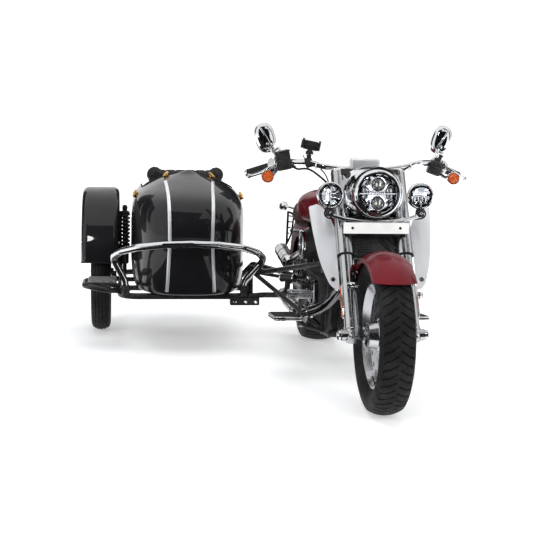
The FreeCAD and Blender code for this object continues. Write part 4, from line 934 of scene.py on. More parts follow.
def make_mirrors():
    """Glass in the back of each shell, a raised spine on its front and a ball at the stem's top."""
    head = v(405, 720, 1088)
    lean = Matrix.Rotation(math.radians(17), 4, "Y")
    glass = turned("mirror_glass", [(0, 39.5), (1.6, 39.5), (2.2, 38.4), (2.2, 0.01)], 64)
    settle(glass, Matrix.Translation(head + Vector((0, 0.0078, 0))) @ lean @ Matrix.Rotation(math.radians(-90), 4, "X")
           @ Matrix.Diagonal((1.06, 1.58, 1, 1)))
    pair(glass, "steering", "chrome", "mirror_glass")
    spine = bar("mirror_spine", [head + lean @ (Vector(p) / 1000) for p in (
        (12, -19, 52), (6, -24, 30), (-2, -25.5, 4), (-12, -22, -30), (-18, -16, -48))], 4.2, 4)
    ball = turned("ball", [(-9, 0.01), (-8, 5), (0, 9), (8, 5), (9, 0.01)], 20,
                  Matrix.Translation(head + Vector((-0.008, -0.021, -0.028))))
    nut = hex_bolt("nut", aim(on_bar(30) + Vector((0, 0, 0.030)), (0, 0, 1)), 15, 8)
    pair(joined("mirror_spine", [spine, ball, nut]), "steering", "chrome")


for make in (make_tyres, make_headlamp, make_fog_lamps, make_signals, make_grips, make_switch_boxes,
             make_clamps, make_cables, make_phone_holder, make_mirrors):
    make()


# ---- places on a surface ---------------------------------------------------------


def skin_of(label):
    """A ray caster over a CAD node's faces."""
    mesh = nodes[label].data
    return BVHTree.FromPolygons([corner.co for corner in mesh.vertices], [face.vertices[:] for face in mesh.polygons])


def drop_on(skin, x, y, height=1200.0):
    """Where a plumb line at a place meets the skin, and the skin's normal there."""
    return skin.ray_cast(v(x, y, height), Vector((0, 0, -1)))[:2]


def fork_frame(x, up, forward=0.0):
    """A matrix beside the fork line: +Z runs up along it and -Y is ahead."""
    turn = Matrix((Vector((1, 0, 0)), -FORK_FORWARD, FORK_UP)).transposed().to_4x4()
    return Matrix.Translation(on_fork(x, up, forward)) @ turn


def bolt_row(name, places, direction, body, across=12, tall=7, slot="chrome"):
    """Those bolt heads as one piece on a body."""
    return fit(joined(name, bolt_heads(places, direction, across, tall)), body, slot)


# ---- steering trim ---------------------------------------------------------------


def make_fork_trim():
    """Cover seals, top caps, reflectors, fender studs, axle caps with their pinch bolts, and slider clamps."""
    seal = turned("fork_seal", [(-5, 30.4), (-5, 34), (-2, 37.6), (1, 37.8), (1, 37.3)], 48, fork_frame(FORK_SIDE, 352),
                  caps=False)
    pair(seal, "steering", "black_plastic")
    cap = turned("fork_cap", [(736, 37.6), (745, 37.6), (750, 34), (752, 22), (757, 14), (757, 0.01)], 48,
                 fork_frame(FORK_SIDE, 0))
    pair(cap, "steering", "chrome")
    shell = block("reflector_shell", (152, -11, 74), (157.5, 11, 214), 2, 2, fork_frame(0, 0))
    pair(shell, "steering", "chrome")
    strip = block("fork_reflector", (155.5, -9, 78), (160.5, 9, 210), 2, 2, fork_frame(0, 0))
    pair(strip, "steering", "amber_lens")
    stud = turned("fender_stud", [(0, 9), (4, 12), (30, 12.4), (37, 11), (41, 6), (42, 0.01)], 32,
                  aim(on_fork(132, 203, 38), (-1, 0, 0)))
    nut = hex_bolt("nut", aim(on_fork(131, 203, 38), (1, 0, 0)), 17, 7)
    pair(joined("fender_stud", [stud, nut]), "steering", "chrome")
    cap = turned("axle_cap", [(150, 19.2), (152, 22.4), (160, 22.4), (162, 19.8), (172, 19.8), (174, 21.2),
                              (182, 20.6), (186.5, 16), (187.5, 8), (187.5, 0.01)], 40,
                 aim(FRONT_AXLE, (1, 0, 0)))
    nut = hex_bolt("nut", aim(FRONT_AXLE + Vector((0.096, 0, 0)), (-1, 0, 0)), 34, 9, False)
    pair(joined("axle_cap", [cap, nut]), "steering", "chrome")
    bolts = bolt_heads([on_fork(x, -14, 27) for x in (112, 136)], FORK_FORWARD, 12, 8)
    pair(joined("pinch_bolts", bolts), "steering", "chrome")
    clamp = turned("slider_clamp", [(20, 30.3), (22, 32.6), (34, 32.6), (36, 30.3)], 40,
                   fork_frame(FORK_SIDE, 0), caps=False)
    pair(clamp, "steering", "polished_fork")


def make_clamp_covers():
    """Bright riser cover, and a black panel between the forks on its backing: fins on its left half, and a plain right
    half that is painted shade, a dark sheet where the space between the forks lies in shade.
    """
    cover = block("riser_cover", (-64, 436, 946), (64, 504, 1010), 10, 4, HERE)
    bolts = bolt_heads([v(x, 470, 1009) for x in (-40, 40)], (0, 0, 1), 10, 3)
    fit(joined("riser_cover", [cover] + bolts), "steering", "chrome", "silver_paint")
    # The panel's plain right half is painted shade: it fills the shaded space between the forks with black.
    panel = block("fork_panel", (-88, -22, 346), (86, 10, 470), 5, 2, fork_frame(0, 0, -16))
    fins = [block("fin", (-80, -27, 352 + 12 * row), (-10, -20, 356 + 12 * row), 1.5, 1, fork_frame(0, 0, -16))
            for row in range(9)]
    fit(joined("fork_panel", [panel] + fins), "steering", "black_metal")
    back = block("clamp_backing", (-86, -6, 430), (86, 4, 560), 3, 1, fork_frame(0, 0, -8))
    fit(back, "steering", "black_metal")


def make_plate_trim():
    """Turned edge, two bolts and a black carrier for the blank plate."""
    middle = v(0, 181.8, 735)
    carrier = block("plate_carrier", (-132, 2.4, -25.5), (132, 8, 20), 2, 2, Matrix.Translation(middle))
    lug = block("lug", (-22, 4, 14), (22, 12, 40), 3, 2, Matrix.Translation(middle))
    fit(joined("plate_carrier", [carrier, lug]), "steering", "black_metal")
    rim = bar("plate_rim", [middle + Vector(p) / 1000 for p in (
        (-133, -2, -22), (-137, -2, -20), (-137, -2, 0), (-137, -2, 20), (-133, -2, 22), (0, -2, 22), (133, -2, 22),
        (137, -2, 20), (137, -2, 0), (137, -2, -20), (133, -2, -22), (0, -2, -22))], 1.3, 3, True)
    fit(rim, "steering", "plate_white")
    bolt_row("plate_bolts", [middle + Vector((x, -0.0018, 0)) for x in (-0.1, 0.1)], (0, -1, 0), "steering", 8, 3,
             "black_metal")


def make_deflector_trim():
    """Rolled edges and a button screw on each leg deflector."""

    def on_panel(out, up, lift=0.0):
        back = DEFLECTOR_BEND - math.sqrt(DEFLECTOR_BEND ** 2 - out ** 2)
        return on_fork(161.2 + out, up, lift - back)

    rows = [(0, 204), (12, 200), (34, 220), (54, 276), (72, 346), (86, 450), (95, 545), (97, 590)]
    edge = bar("deflector_edge", [on_panel(out, up, -1.5) for out, up in rows], 2.4, 3)
    pair(edge, "steering", "silver_paint")
    rows = [(97, 592), (66, 598), (30, 556), (8, 500), (0, 470)]
    edge = bar("deflector_notch", [on_panel(out, up, -1.5) for out, up in rows], 2.4, 3)
    pair(edge, "steering", "silver_paint")
    screw = turned("deflector_screw", [(0, 10), (1.5, 10), (2, 8), (5, 7.4), (6.6, 5), (6.6, 3.4), (4, 3.2),
                                       (4, 0.01)], 24, aim(on_panel(24, 246), FORK_FORWARD + Vector((0.12, 0, 0))))
    pair(screw, "steering", "chrome", "dark_chrome")


def make_front_fender_trim():
    """A rolled lip round the front fender and the bolts that hold it."""

    def lip_place(x):
        out = FRONT_FENDER_RADIUS - FRONT_FENDER_CROWN + math.sqrt(FRONT_FENDER_CROWN ** 2 - x * x)
        ahead = math.sqrt(out * out - FRONT_FENDER_LIP ** 2)
        return FRONT_AXLE + Vector((x, -ahead, FRONT_FENDER_LIP)) / 1000

    front = bar("front_fender_lip", [lip_place(x) + Vector((0, 0.001, 0.0015)) for x in range(-84, 85, 12)], 2.4, 3)
    sides = [front]
    for x in (-84.6, 84.6):
        sweep = [FRONT_AXLE + Vector((x, -290 * math.sin(a), 290 * math.cos(a))) / 1000
                 for a in (math.radians(35 - 5 * step) for step in range(23))]
        sides.append(bar("edge", sweep, 2.6, 3))
    fit(joined("front_fender_lip", sides), "steering", "red_paint")
    bolts = bolt_heads([on_fork(86, 268, forward) for forward in (22, -22)], (1, 0, 0), 9, 4)
    pair(joined("front_fender_bolts", bolts), "steering", "chrome")


def make_nacelle_louvres():
    """Four thin ribs on the upper right side of the lamp housing."""
    ribs = []
    for share in (0.22, 0.42, 0.62, 0.82):
        wide, tall = 105.5 + 19 * share, 105.5 + 11 * share
        turns = [math.radians(degrees) for degrees in range(48, 96, 6)]
        line = [v(-wide * math.cos(a), 197 + 44 * share, LAMP_HEIGHT - 6 * share + tall * math.sin(a)) for a in turns]
        ribs.append(bar("rib", line, 1.7, 2))
    fit(joined("nacelle_louvres", ribs), "steering", "black_metal", "dark_chrome")


def make_lamp_mounts():
    """Black knuckles under the small lamps, with their bolts and leads."""
    knuckle = turned("lamp_knuckle", [(-17, 12), (-15, 17.4), (-9, 18.6), (9, 18.6), (13, 17), (15, 13)], 32,
                     at(*KNUCKLE), caps=False)
    boss = block("boss", (-13, -22, -10), (13, 6, 10), 4, 2, at(*KNUCKLE))
    pair(joined("lamp_knuckle", [knuckle, boss]), "steering", "black_metal")
    pair(hex_bolt("lamp_bolt", aim(v(190, 198, 796), (0, -1, 0)), 12, 6), "steering", "chrome")
    lead = bar("lamp_lead", [v(204, 222, 812), v(214, 214, 800), v(212, 212, 782), v(198, 218, 772), v(172, 236, 768),
                             v(138, 262, 770)], 3, 3)
    pair(lead, "steering", "black_plastic", "hose_rubber")


def make_front_brake():
    """Disc on the wheel's left side, its caliper on the fork and the hose down the fork's back."""
    disc = turned("front_disc", [(79.8, 62), (79.8, 146), (84.6, 146), (84.6, 62), (79.8, 62)], 72,
                  aim(FRONT_AXLE, (1, 0, 0)), caps=False)
    carrier = turned("carrier", [(76, 40), (76, 64), (82, 68), (82, 40), (76, 40)], 10, aim(FRONT_AXLE, (1, 0, 0)),
                     caps=False)
    fit(joined("front_brake_disc", [disc, carrier]), "front_wheel", "chrome", "polished_wheel")
    body = block("caliper", (90.5, 38, 52), (112, 84, 132), 9, 3, fork_frame(0, 0))
    caps = [turned("cap", [(0, 15), (5, 15), (7, 12), (7, 0.01)], 24,
                   fork_frame(0, 0) @ aim(Vector((112, 61, up)) / 1000, (1, 0, 0))) for up in (74, 110)]
    arm = block("arm", (112, 20, 60), (120, 60, 124), 4, 2, fork_frame(0, 0))
    fit(joined("front_caliper", [body, arm] + caps), "steering", "black_metal")
    hose = bar("front_brake_hose", [on_fork(112, 128, -62), on_fork(116, 180, -56), on_fork(118, 260, -46),
                                    on_fork(112, 360, -50), on_fork(108, 440, -46), on_fork(104, 520, -44)], 4, 3)
    fit(hose, "steering", "black_plastic", "hose_rubber")


def make_fork_cables():
    """Cables from behind the plate, down over the fender and back along the fork."""
    rows = [((14, 262, 812), (10, 240, 742), (22, 222, 700), (34, 206, 668), (60, 190, 640), (96, 196, 622)),
            ((30, 262, 812), (34, 242, 745), (46, 226, 705), (40, 208, 672), (70, 200, 648), (98, 204, 640)),
            ((46, 264, 812), (56, 248, 748), (62, 232, 712), (64, 216, 690), (80, 206, 668), (98, 212, 656))]
    for number, (row, radius) in enumerate(zip(rows, (4.2, 3.2, 3.6))):
        fit(bar("fork_cable_%d" % number, [v(*p) for p in row], radius), "steering", "black_plastic", "hose_rubber")
    fit(block("fork_cable_clip", (12, -8, -5), (52, 6, 5), 2, 2, at(8, 238, 722)), "steering", "chrome")


# ---- engine, exhaust and tank ----------------------------------------------------


def make_engine_trim():
    """Rocker boxes, pushrod tubes, cam and primary covers, oil filter and bolts."""
    for label, way in (("front", -1), ("rear", 1)):
        frame_up = (at(0, CYLINDER_MIDDLE + way * CYLINDER_APART, CYLINDER_FOOT)
                    @ Matrix.Rotation(math.radians(-CYLINDER_LEAN * way), 4, "X"))
        box = block("rocker_box", (-70, -58, 206), (70, 58, 236), 9, 3, frame_up)
        lid = block("lid", (-62, -48, 232), (62, 48, 246), 6, 3, frame_up)
        heads = [hex_bolt("head", frame_up @ Matrix.Translation(Vector((x, y, 235)) / 1000), 9, 5)
                 for x in (-64, 64) for y in (-50, 50)]
        # Painted shade: the chrome rocker boxes get the darker chrome for the shade under the tank.
        fit(joined("rocker_box_" + label, [box, lid] + heads), "chassis", "chrome", "dark_chrome")
        tubes = []
        for step in (-1, 1):
            low = v(-96, CYLINDER_MIDDLE + way * 22 + step * 14, 418)
            high = v(-72, CYLINDER_MIDDLE + way * 126 + step * 22, 636)
            tubes.append(bar("tube", [low, low.lerp(high, 0.5), high], 9, 4))
            collar = (high - low).normalized()
            for share in (0.04, 0.55, 0.97):
                tubes.append(turned("collar", [(-9, 9), (-8, 12.5), (8, 12.5), (9, 9)], 20,
                                    aim(low.lerp(high, share), collar), caps=False))
        # Painted shade: the chrome pushrod tubes get the darker chrome for the shade under the tank.
        fit(joined("pushrod_tubes_" + label, tubes), "chassis", "chrome", "dark_chrome")
    side = at(-140, 0, 0)
    cam = block("cam_cover", (-24, 770, 262), (4, 1010, 434), 22, 4, side)
    dial = turned("dial", [(0, 50), (8, 50), (12, 44), (13, 40), (11, 36), (11, 0.01)], 48,
                  aim(v(-163, 850, 332), (-1, 0, 0)))
    heads = bolt_heads([v(-163, y, z) for y, z in ((790, 284), (790, 412), (900, 276), (990, 284), (990, 412),
                                                   (900, 420))], (-1, 0, 0), 9, 5)
    # Painted shade: the chrome cam cover gets the darker chrome for the shade under the tank.
    fit(joined("cam_cover", [cam, dial] + heads), "chassis", "chrome", "dark_chrome")
    primary = block("primary_cover", (148, 716, 262), (178, 1172, 418), 26, 5, HERE)
    derby = turned("derby", [(0, 72), (6, 72), (10, 68), (12, 60), (12.5, 0.01)], 56, aim(v(176, 1076, 340), (1, 0, 0)))
    nose = turned("nose", [(0, 50), (6, 50), (9, 44), (9.5, 0.01)], 48, aim(v(176, 800, 340), (1, 0, 0)))
    heads = bolt_heads([v(177, y, z) for y, z in ((736, 282), (736, 398), (860, 274), (960, 274), (860, 406),
                                                  (960, 406), (1156, 282), (1156, 398))], (1, 0, 0), 9, 5)
    fit(joined("primary_cover", [primary, derby, nose] + heads), "chassis", "chrome")
    can = turned("oil_filter", [(0, 36), (4, 38), (52, 38), (58, 35), (61, 28), (62, 14), (60, 0.01)], 40,
                 aim(v(-30, 694, 372), (0, -1, -0.1)))
    fit(can, "chassis", "chrome")
    box = block("regulator", (-74, 600, 232), (74, 634, 332), 6, 2, HERE)
    fins = [block("fin", (-70 + 14 * row, 590, 238), (-65 + 14 * row, 602, 326), 1.2, 1, HERE)
            for row in range(11)]
    strap = block("strap", (-30, 630, 252), (30, 700, 262), 2, 1, HERE)
    fit(joined("regulator", [box, strap] + fins), "chassis", "black_metal")


def make_air_cleaner_trim():
    """Stepped bright cover with its centre screw, and the breather hose."""
    face = aim(v(-203, 905, 588), (-1, 0, 0))
    cover = turned("air_cleaner_cover", [(-10, 68.4), (-6, 70), (2, 70), (6, 66), (7, 58), (5, 54), (5, 44), (8, 40),
                                         (10, 28), (10, 12), (13, 9), (14, 0.01)], 64, face)
    fit(cover, "chassis", "chrome")
    hose = bar("breather_hose", [v(-120, 930, 620), v(-96, 948, 640), v(-70, 962, 655)], 8, 4)
    fit(hose, "chassis", "black_plastic", "hose_rubber")


def make_exhaust_trim():
    """Rounded muffler ends, band clamps and a plain heat shield."""
    for label, start, end in (("front", (-172, 1150, 222), (-168, 1760, 224)),
                              ("rear", (-222, 1172, 468), (-193, 1700, 474))):
        start, end = v(*start), v(*end)
        along = (end - start).normalized()
        nose = turned("nose", [(-34, 21), (-26, 26), (-14, 33), (-2, 36.6), (10, 37.2), (12, 36.2)], 48,
                      aim(start, along), caps=False)
        tip = turned("tip", [(-26, 36.2), (-24, 38), (-16, 38), (-13, 36.4), (0, 36.4), (1, 35), (1, 30), (-30, 29),
                             (-32, 0.01)], 48, aim(end, along))
        bands = [turned("band", [(-9, 36.3), (-9, 38.4), (9, 38.4), (9, 36.3)], 48, aim(start.lerp(end, share), along),
                        caps=False) for share in (0.16, 0.6)]
        fit(joined("muffler_ends_" + label, [nose, tip] + bands), "chassis", "chrome")
    guard = bar("header_shield", [v(-80, 528, 440), v(-106, 530, 398), v(-146, 584, 336), v(-190, 690, 303)], 25, 6)
    fit(guard, "chassis", "chrome", "dark_chrome")
    clamps = [turned("clamp", [(-6, 25), (-5, 28), (5, 28), (6, 25)], 32, aim(v(*place), direction), caps=False)
              for place, direction in (((-84, 529, 428), (-0.3, 0.1, -0.9)), ((-184, 676, 306), (-0.4, 0.9, -0.3)))]
    fit(joined("shield_clamps", clamps), "chassis", "chrome")


def make_tank_trim():
    """Bright console with its dial and filler cap."""
    deck = at(0, 735, 862)
    console = block("tank_console", (-38, -150, -8), (38, 130, 12), 9, 4, deck)
    dial_seat = deck @ Matrix.Translation((0, -0.07, 0))
    dial = turned("dial", [(4, 46), (14, 46), (20, 42), (20, 37), (15, 36)], 48, dial_seat, caps=False)
    cap = turned("cap", [(4, 30), (16, 30), (20, 27), (22, 18), (22.5, 0.01)], 36,
                 deck @ Matrix.Translation((0, 0.06, 0)))
    fit(joined("tank_console", [console, dial, cap]), "chassis", "chrome")
    face = turned("tank_dial", [(13, 36.5), (14.5, 36), (15, 0.01)], 40, dial_seat)
    fit(face, "chassis", "black_plastic", "dark_projector")


# ---- rear of the motorcycle ------------------------------------------------------


def make_rear_lamps():
    """Bullet signals on a cross bar, side reflectors, tail lamp and a blank plate."""
    for side in (-1, 1):
        label = "left" if side > 0 else "right"
        root = v(side * 172, 1800, 700)
        shell = turned("rear_signal_shell_" + label, [(-26, 22), (-22, 25), (0, 26), (16, 24), (30, 17), (38, 8),
                                                      (40, 0.01)], 40, aim(root, (0, -1, 0)))
        post = bar("post", [root + Vector((-side * 0.014, 0, 0)), v(side * 130, 1802, 692), v(side * 100, 1800, 682),
                            v(side * 100, 1797, 640),
                            v(side * 84, 1794, 596)], 6.5, 4)
        fit(joined("rear_signal_" + label, [shell, post]), "chassis", "chrome")
        lens = turned("rear_signal_lens_" + label, [(24, 24), (28, 23), (33, 16), (35, 0.01)], 40, aim(root, (0, 1, 0)))
        fit(lens, "chassis", "amber_lens")
        strip = block("rear_side_reflector_" + label, (-5, -30, -10), (5, 12, 8), 3, 2,
                      at(side * 118, 1786, 672))
        fit(strip, "chassis", "amber_lens")
    turn = math.radians(TAIL_LAMP_ANGLE)
    crown = REAR_RADIUS + REAR_FENDER_RADIUS * math.cos(turn)
    back = WHEELBASE + REAR_FENDER_RADIUS * math.sin(turn)
    lamp = aim(v(0, back - 6, crown), (0, 1, 0.35))
    shell = turned("tail_lamp_shell", [(-6, 44), (0, 50), (14, 50), (18, 46), (18, 43)], 48, lamp, caps=False)
    fit(shell, "chassis", "chrome")
    lens = turned("tail_lamp_lens", [(12, 44), (18, 43.6), (26, 38), (30, 26), (31, 0.01)], 48, lamp)
    fit(lens, "chassis", "amber_lens", "red_lens")
    plate = block("rear_plate", (-90, -2, -55), (90, 2, 55), 1.2, 1,
                  at(0, 1996, 392) @ Matrix.Rotation(math.radians(-14), 4, "X"))
    fit(plate, "chassis", "plate_white")
    arm = bar("rear_plate_arm", [v(0, 1950, 470), v(0, 1982, 450), v(0, 1999, 410)], 8, 4)
    fit(arm, "chassis", "black_metal")


def make_side_rack():
    """A black ladder of flat bar on the right rear rail."""
    rail = [v(-168, 1650, 682), v(-170, 1650, 600), v(-173, 1650, 506)]
    inner = [v(-134, 1662, 676), v(-140, 1660, 610), v(-150, 1656, 548), v(-172, 1650, 512)]
    parts = [bar("rail", rail, 6, 3), bar("inner", inner, 5, 3),
             bar("top", [v(-170, 1650, 680), v(-140, 1662, 680), v(-118, 1700, 640)], 6, 3)]
    for row in range(5):
        share = 0.12 + 0.18 * row
        parts.append(bar("rung", [rail[0].lerp(rail[2], share), inner[0].lerp(inner[3], share)], 3.6, 3))
    fit(joined("side_rack", parts), "chassis", "black_metal")


def make_rear_wheel_trim():
    """Belt pulley on the left, brake disc on the right, and the axle nuts."""
    axle = REAR_AXLE
    pulley = turned("rear_pulley", [(103, 60), (103, 150), (106, 154), (118, 154), (121, 150), (121, 60),
                                    (103, 60)], 64, aim(axle, (1, 0, 0)), caps=False)
    fit(pulley, "rear_wheel", "black_metal")
    disc = turned("rear_disc", [(103, 60), (103, 146), (108, 146), (108, 60), (103, 60)], 64, aim(axle, (-1, 0, 0)),
                  caps=False)
    fit(disc, "rear_wheel", "chrome", "polished_wheel")
    nut = hex_bolt("axle_nut", aim(axle + Vector((0.158, 0, 0)), (1, 0, 0)), 32, 14)
    washer = turned("washer", [(156, 24), (160, 24), (161, 20), (161, 10)], 32, aim(axle, (1, 0, 0)), caps=False)
    pair(joined("rear_axle_nut", [nut, washer]), "chassis", "chrome")


def make_foot_trim():
    """Ribbed rubber and bright rims on the boards, pad rubber on the pedal, sleeve on the shifter peg."""
    board = at(230, 763, 262) @ Matrix.Rotation(math.radians(-5), 4, "X")
    rib = block("rib", (12, -5, 13.5), (116, 5, 18.5), 2, 2)
    ribs = [board @ Matrix.Translation((0, y / 1000, 0)) for y in range(-126, 130, 14)]
    mat = block("mat", (8, -137, 13.2), (120, 137, 15.5), 1, 1, board)
    pair(joined("board_rubber", [repeated("ribs", rib, ribs), mat]), "chassis", "black_plastic")
    loops = []
    for height in (1, 12.5):
        line = [board @ (Vector((x, y, height)) / 1000) for x, y in (
            (30, -146), (98, -146), (122, -140), (129, -116), (129, 0), (129, 116), (122, 140), (98, 146), (30, 146),
            (6, 140), (-1, 116), (-1, 0), (-1, -116), (6, -140))]
        loops.append(bar("rim", line, 3.6, 3, True))
    pair(joined("board_rims", loops), "chassis", "chrome")
    pad = [block("pad", (-310, 524, 388), (-207, 531, 420), 3, 2, HERE)]
    pad += [block("rib", (-306, 521, 392 + 7 * row), (-211, 526, 396 + 7 * row), 1.2, 1, HERE) for row in range(4)]
    fit(joined("pedal_rubber", pad), "chassis", "black_plastic", "polished_wheel")
    frame_top = block("pedal_rim", (-316, 527, 416), (-201, 555, 427), 4, 3, HERE)
    fit(frame_top, "chassis", "chrome")
    peg = turned("shifter_peg", [(0, 9), (2, 14.6), (44, 15.4), (54, 13), (58, 7), (59, 0.01)], 32,
                 aim(v(240, 545, 400), (1, 0, 0)))
    fit(peg, "chassis", "chrome")
    rings = [turned("ring", [(-2.4, 14.8), (-1.6, 16.6), (1.6, 16.6), (2.4, 14.8)], 28,
                    aim(v(248 + 8 * row, 545, 400), (1, 0, 0)), caps=False) for row in range(5)]
    fit(joined("shifter_rubber", rings), "chassis", "black_plastic")


# ---- padded seats ----------------------------------------------------------------


def puffed(label, name, voxel, shrink, cap):
    """A CAD pad's skin remeshed, drawn in, blown up by cloth pressure and smoothed."""
    source = nodes[label]
    piece = bpy.data.objects.new(name, source.data.copy())
    bpy.context.scene.collection.objects.link(piece)
    clean(piece, 0.0001)
    remesh = piece.modifiers.new("even_mesh", "REMESH")
    remesh.mode = "VOXEL"
    remesh.voxel_size = voxel / 1000
    bpy.ops.object.modifier_apply(modifier=remesh.name)
    skin = piece.data
    for corner, normal in zip(skin.vertices, [corner.normal.copy() for corner in skin.vertices]):
        corner.co -= normal * shrink / 1000
    start = [corner.co.copy() for corner in skin.vertices]
    cloth = piece.modifiers.new("air", "CLOTH")
    cloth.settings.use_pressure = True
    cloth.settings.uniform_pressure_force = PAD_PRESSURE
    cloth.settings.effector_weights.gravity = 0
    cloth.point_cache.frame_start = 1
    cloth.point_cache.frame_end = PAD_FRAMES
    for moment in range(1, PAD_FRAMES + 1):
        bpy.context.scene.frame_set(moment)
    blown = piece.evaluated_get(bpy.context.evaluated_depsgraph_get()).to_mesh()
    ends = [corner.co.copy() for corner in blown.vertices]
    piece.modifiers.remove(cloth)
    bpy.context.scene.frame_set(1)
    for corner, first, last in zip(skin.vertices, start, ends):
        move = last - first
        corner.co = first + move * min(1, cap / 1000 / max(move.length, 1e-9))
    smooth = piece.modifiers.new("smooth", "SUBSURF")
    smooth.levels = 1
    smooth.render_levels = 1
    only(piece)
    bpy.ops.object.modifier_apply(modifier=smooth.name)
    return piece


def groove(value, pitch, wide):
    """How near a value is to a line that repeats, from 0 to 1."""
    off = (value + pitch / 2) % pitch - pitch / 2
    return math.exp(-off * off / (2 * wide * wide))


def sewn(piece, depth_at):
    """Draws the cover in along its seams and notes them for the thread's colour."""
    skin = piece.data
    marks = skin.attributes.new("thread", "FLOAT", "POINT")
    normals = [corner.normal.copy() for corner in skin.vertices]
    for mark, corner, normal in zip(marks.data, skin.vertices, normals):
        depth, thread = depth_at((corner.co - GROUND) * 1000, normal)
        mark.value = thread
        corner.co -= normal * depth / 1000


def make_rider_seat():
    """Quilted top and upper sides over a plain lower panel, with piping between them."""
    piece = puffed("rider_seat", "rider_seat_cover", 6, 5, 7)

    def seams(place, normal):
        sideways = abs(normal.x) > 0.62
        piping = math.exp(-((place.z - SEAT_PIPING) / 3.0) ** 2)
        if place.z < SEAT_PIPING or normal.z < -0.3:
            return -2.0 * piping, 0.0
        first, second = ((place.y, place.z * 1.2) if sideways else (place.x, place.y))
        quilt = max(groove(line, QUILT_PITCH, 2.6) for line in (first + second, first - second))
        return QUILT_DEPTH * quilt - 2.0 * piping, quilt ** 3

    sewn(piece, seams)
    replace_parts(fit(piece, "chassis", "brown_leather", smooth=60), "rider_seat")


def make_sidecar_seat():
    """Pleated backrest and cushion with round ears."""
    piece = puffed("sidecar_seat", "sidecar_seat_cover", 7, 6, 9)

    def seams(place, normal):
        across = place.x - SIDE_SEAT_MIDDLE
        if abs(across) > 168 or abs(normal.x) > 0.6 or (normal.y > 0.4 and normal.z < 0.6):
            return 0.0, 0.0
        return PLEAT_DEPTH * groove(across, PLEAT_PITCH, 3.2), 0.0

    sewn(piece, seams)
    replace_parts(fit(piece, "chassis", "black_leather", smooth=60), "sidecar_seat")


# ---- sidecar ---------------------------------------------------------------------


def make_body_strips():
    """Two bright strips from the cockpit's edge down over the nose."""
    skin = skin_of("sidecar_body")
    for label, high, middle, low in (("right", -827, -811, -822), ("left", -572, -603, -588)):
        rows = []
        for step in range(57):
            turn = 68 - 99 * step / 56
            x = middle + ((high - middle) * max(0, (turn - 2) / 77) ** 1.3
                          + (low - middle) * max(0, (2 - turn) / 33) ** 1.2)
            out = Vector((0, -math.cos(math.radians(turn)), math.sin(math.radians(turn))))
            start = v(x, 1650, 560)
            pairs = []
            for off in (-8, 0, 8):
                place, normal = skin.ray_cast(start + Vector((off / 1000, 0, 0)) + out * 1.5, -out)[:2]
                pairs.append(place + normal * (0.0016 if off == 0 else 0.0006))
            rows.append(pairs)
        bpy.ops.object.select_all(action="DESELECT")
        bpy.ops.mesh.primitive_grid_add(x_subdivisions=2, y_subdivisions=56, size=1)
        strip = take("body_strip_" + label)
        corners = sorted(strip.data.vertices, key=lambda corner: (round(corner.co.y, 5), corner.co.x))
        for number, corner in enumerate(corners):
            corner.co = rows[number // 3][number % 3]
        thick = strip.modifiers.new("thickness", "SOLIDIFY")
        thick.thickness = 0.004
        thick.offset = 0
        only(strip)
        bpy.ops.object.modifier_apply(modifier=thick.name)
        clean(strip)
        softened(strip, 0.6, 2, 50)
        screws = [hex_bolt("screw", aim(rows[row][1], rows[row][1] - v(BODY_MIDDLE, 1650, 520)), 5, 1.6, False)
                  for row in (33, 46)]
        fit(joined("body_strip_" + label, [strip] + screws), "chassis", "chrome", "silver_paint")


def make_cockpit_edge():
    """A rubber bead round the cockpit's opening."""
    skin = skin_of("sidecar_body")
    middle, half, front, back, round_off = BODY_MIDDLE, 238, 1657, 2233, 72
    corners = ((middle + half - round_off, front + round_off, -90), (middle + half - round_off, back - round_off, 0),
               (middle - half + round_off, back - round_off, 90), (middle - half + round_off, front + round_off, 180))
    line = []
    for x, y, start in corners:
        for step in range(7):
            turn = math.radians(start + 15 * step)
            line.append((x + round_off * math.cos(turn), y + round_off * math.sin(turn)))
    full = []
    for (x, y), (next_x, next_y) in zip(line, line[1:] + line[:1]):
        parts = max(1, round(math.hypot(next_x - x, next_y - y) / 45))
        full += [(x + (next_x - x) * s / parts, y + (next_y - y) * s / parts) for s in range(parts)]
    bead = bar("cockpit_bead", [drop_on(skin, x, y)[0] - Vector((0, 0, 0.001)) for x, y in full], 4.5, 4, True)
    fit(bead, "chassis", "black_plastic")


def make_wing_studs():
    """Brass wing nuts on black tabs at the front of the cockpit."""
    skin = skin_of("sidecar_body")
    tabs = []
    nuts = []
    for x, y, roll in ((-816, 1640, 8), (-582, 1640, -8), (-972, 1652, 40), (-428, 1652, -40)):
        place, normal = drop_on(skin, x, y)
        seat = aim(place, normal.lerp(Vector((0, -0.5, 0.5)), 0.4), roll)
        tabs.append(block("tab", (-11, -15, -3), (11, 15, 4), 2, 2, seat))
        nuts.append(turned("hub", [(3, 11), (5, 11), (7, 7.5), (18, 6.5), (20, 4), (20, 0.01)], 20, seat))
        nuts.append(block("wings", (-5, -28, 6), (5, 28, 19), 3.8, 3, seat))
        nuts.append(block("spur", (-13, -3.4, 5), (13, 3.4, 12), 2.6, 2, seat))
    fit(joined("stud_tabs", tabs), "chassis", "black_plastic")
    fit(joined("wing_nuts", nuts), "chassis", "chrome", "brass")


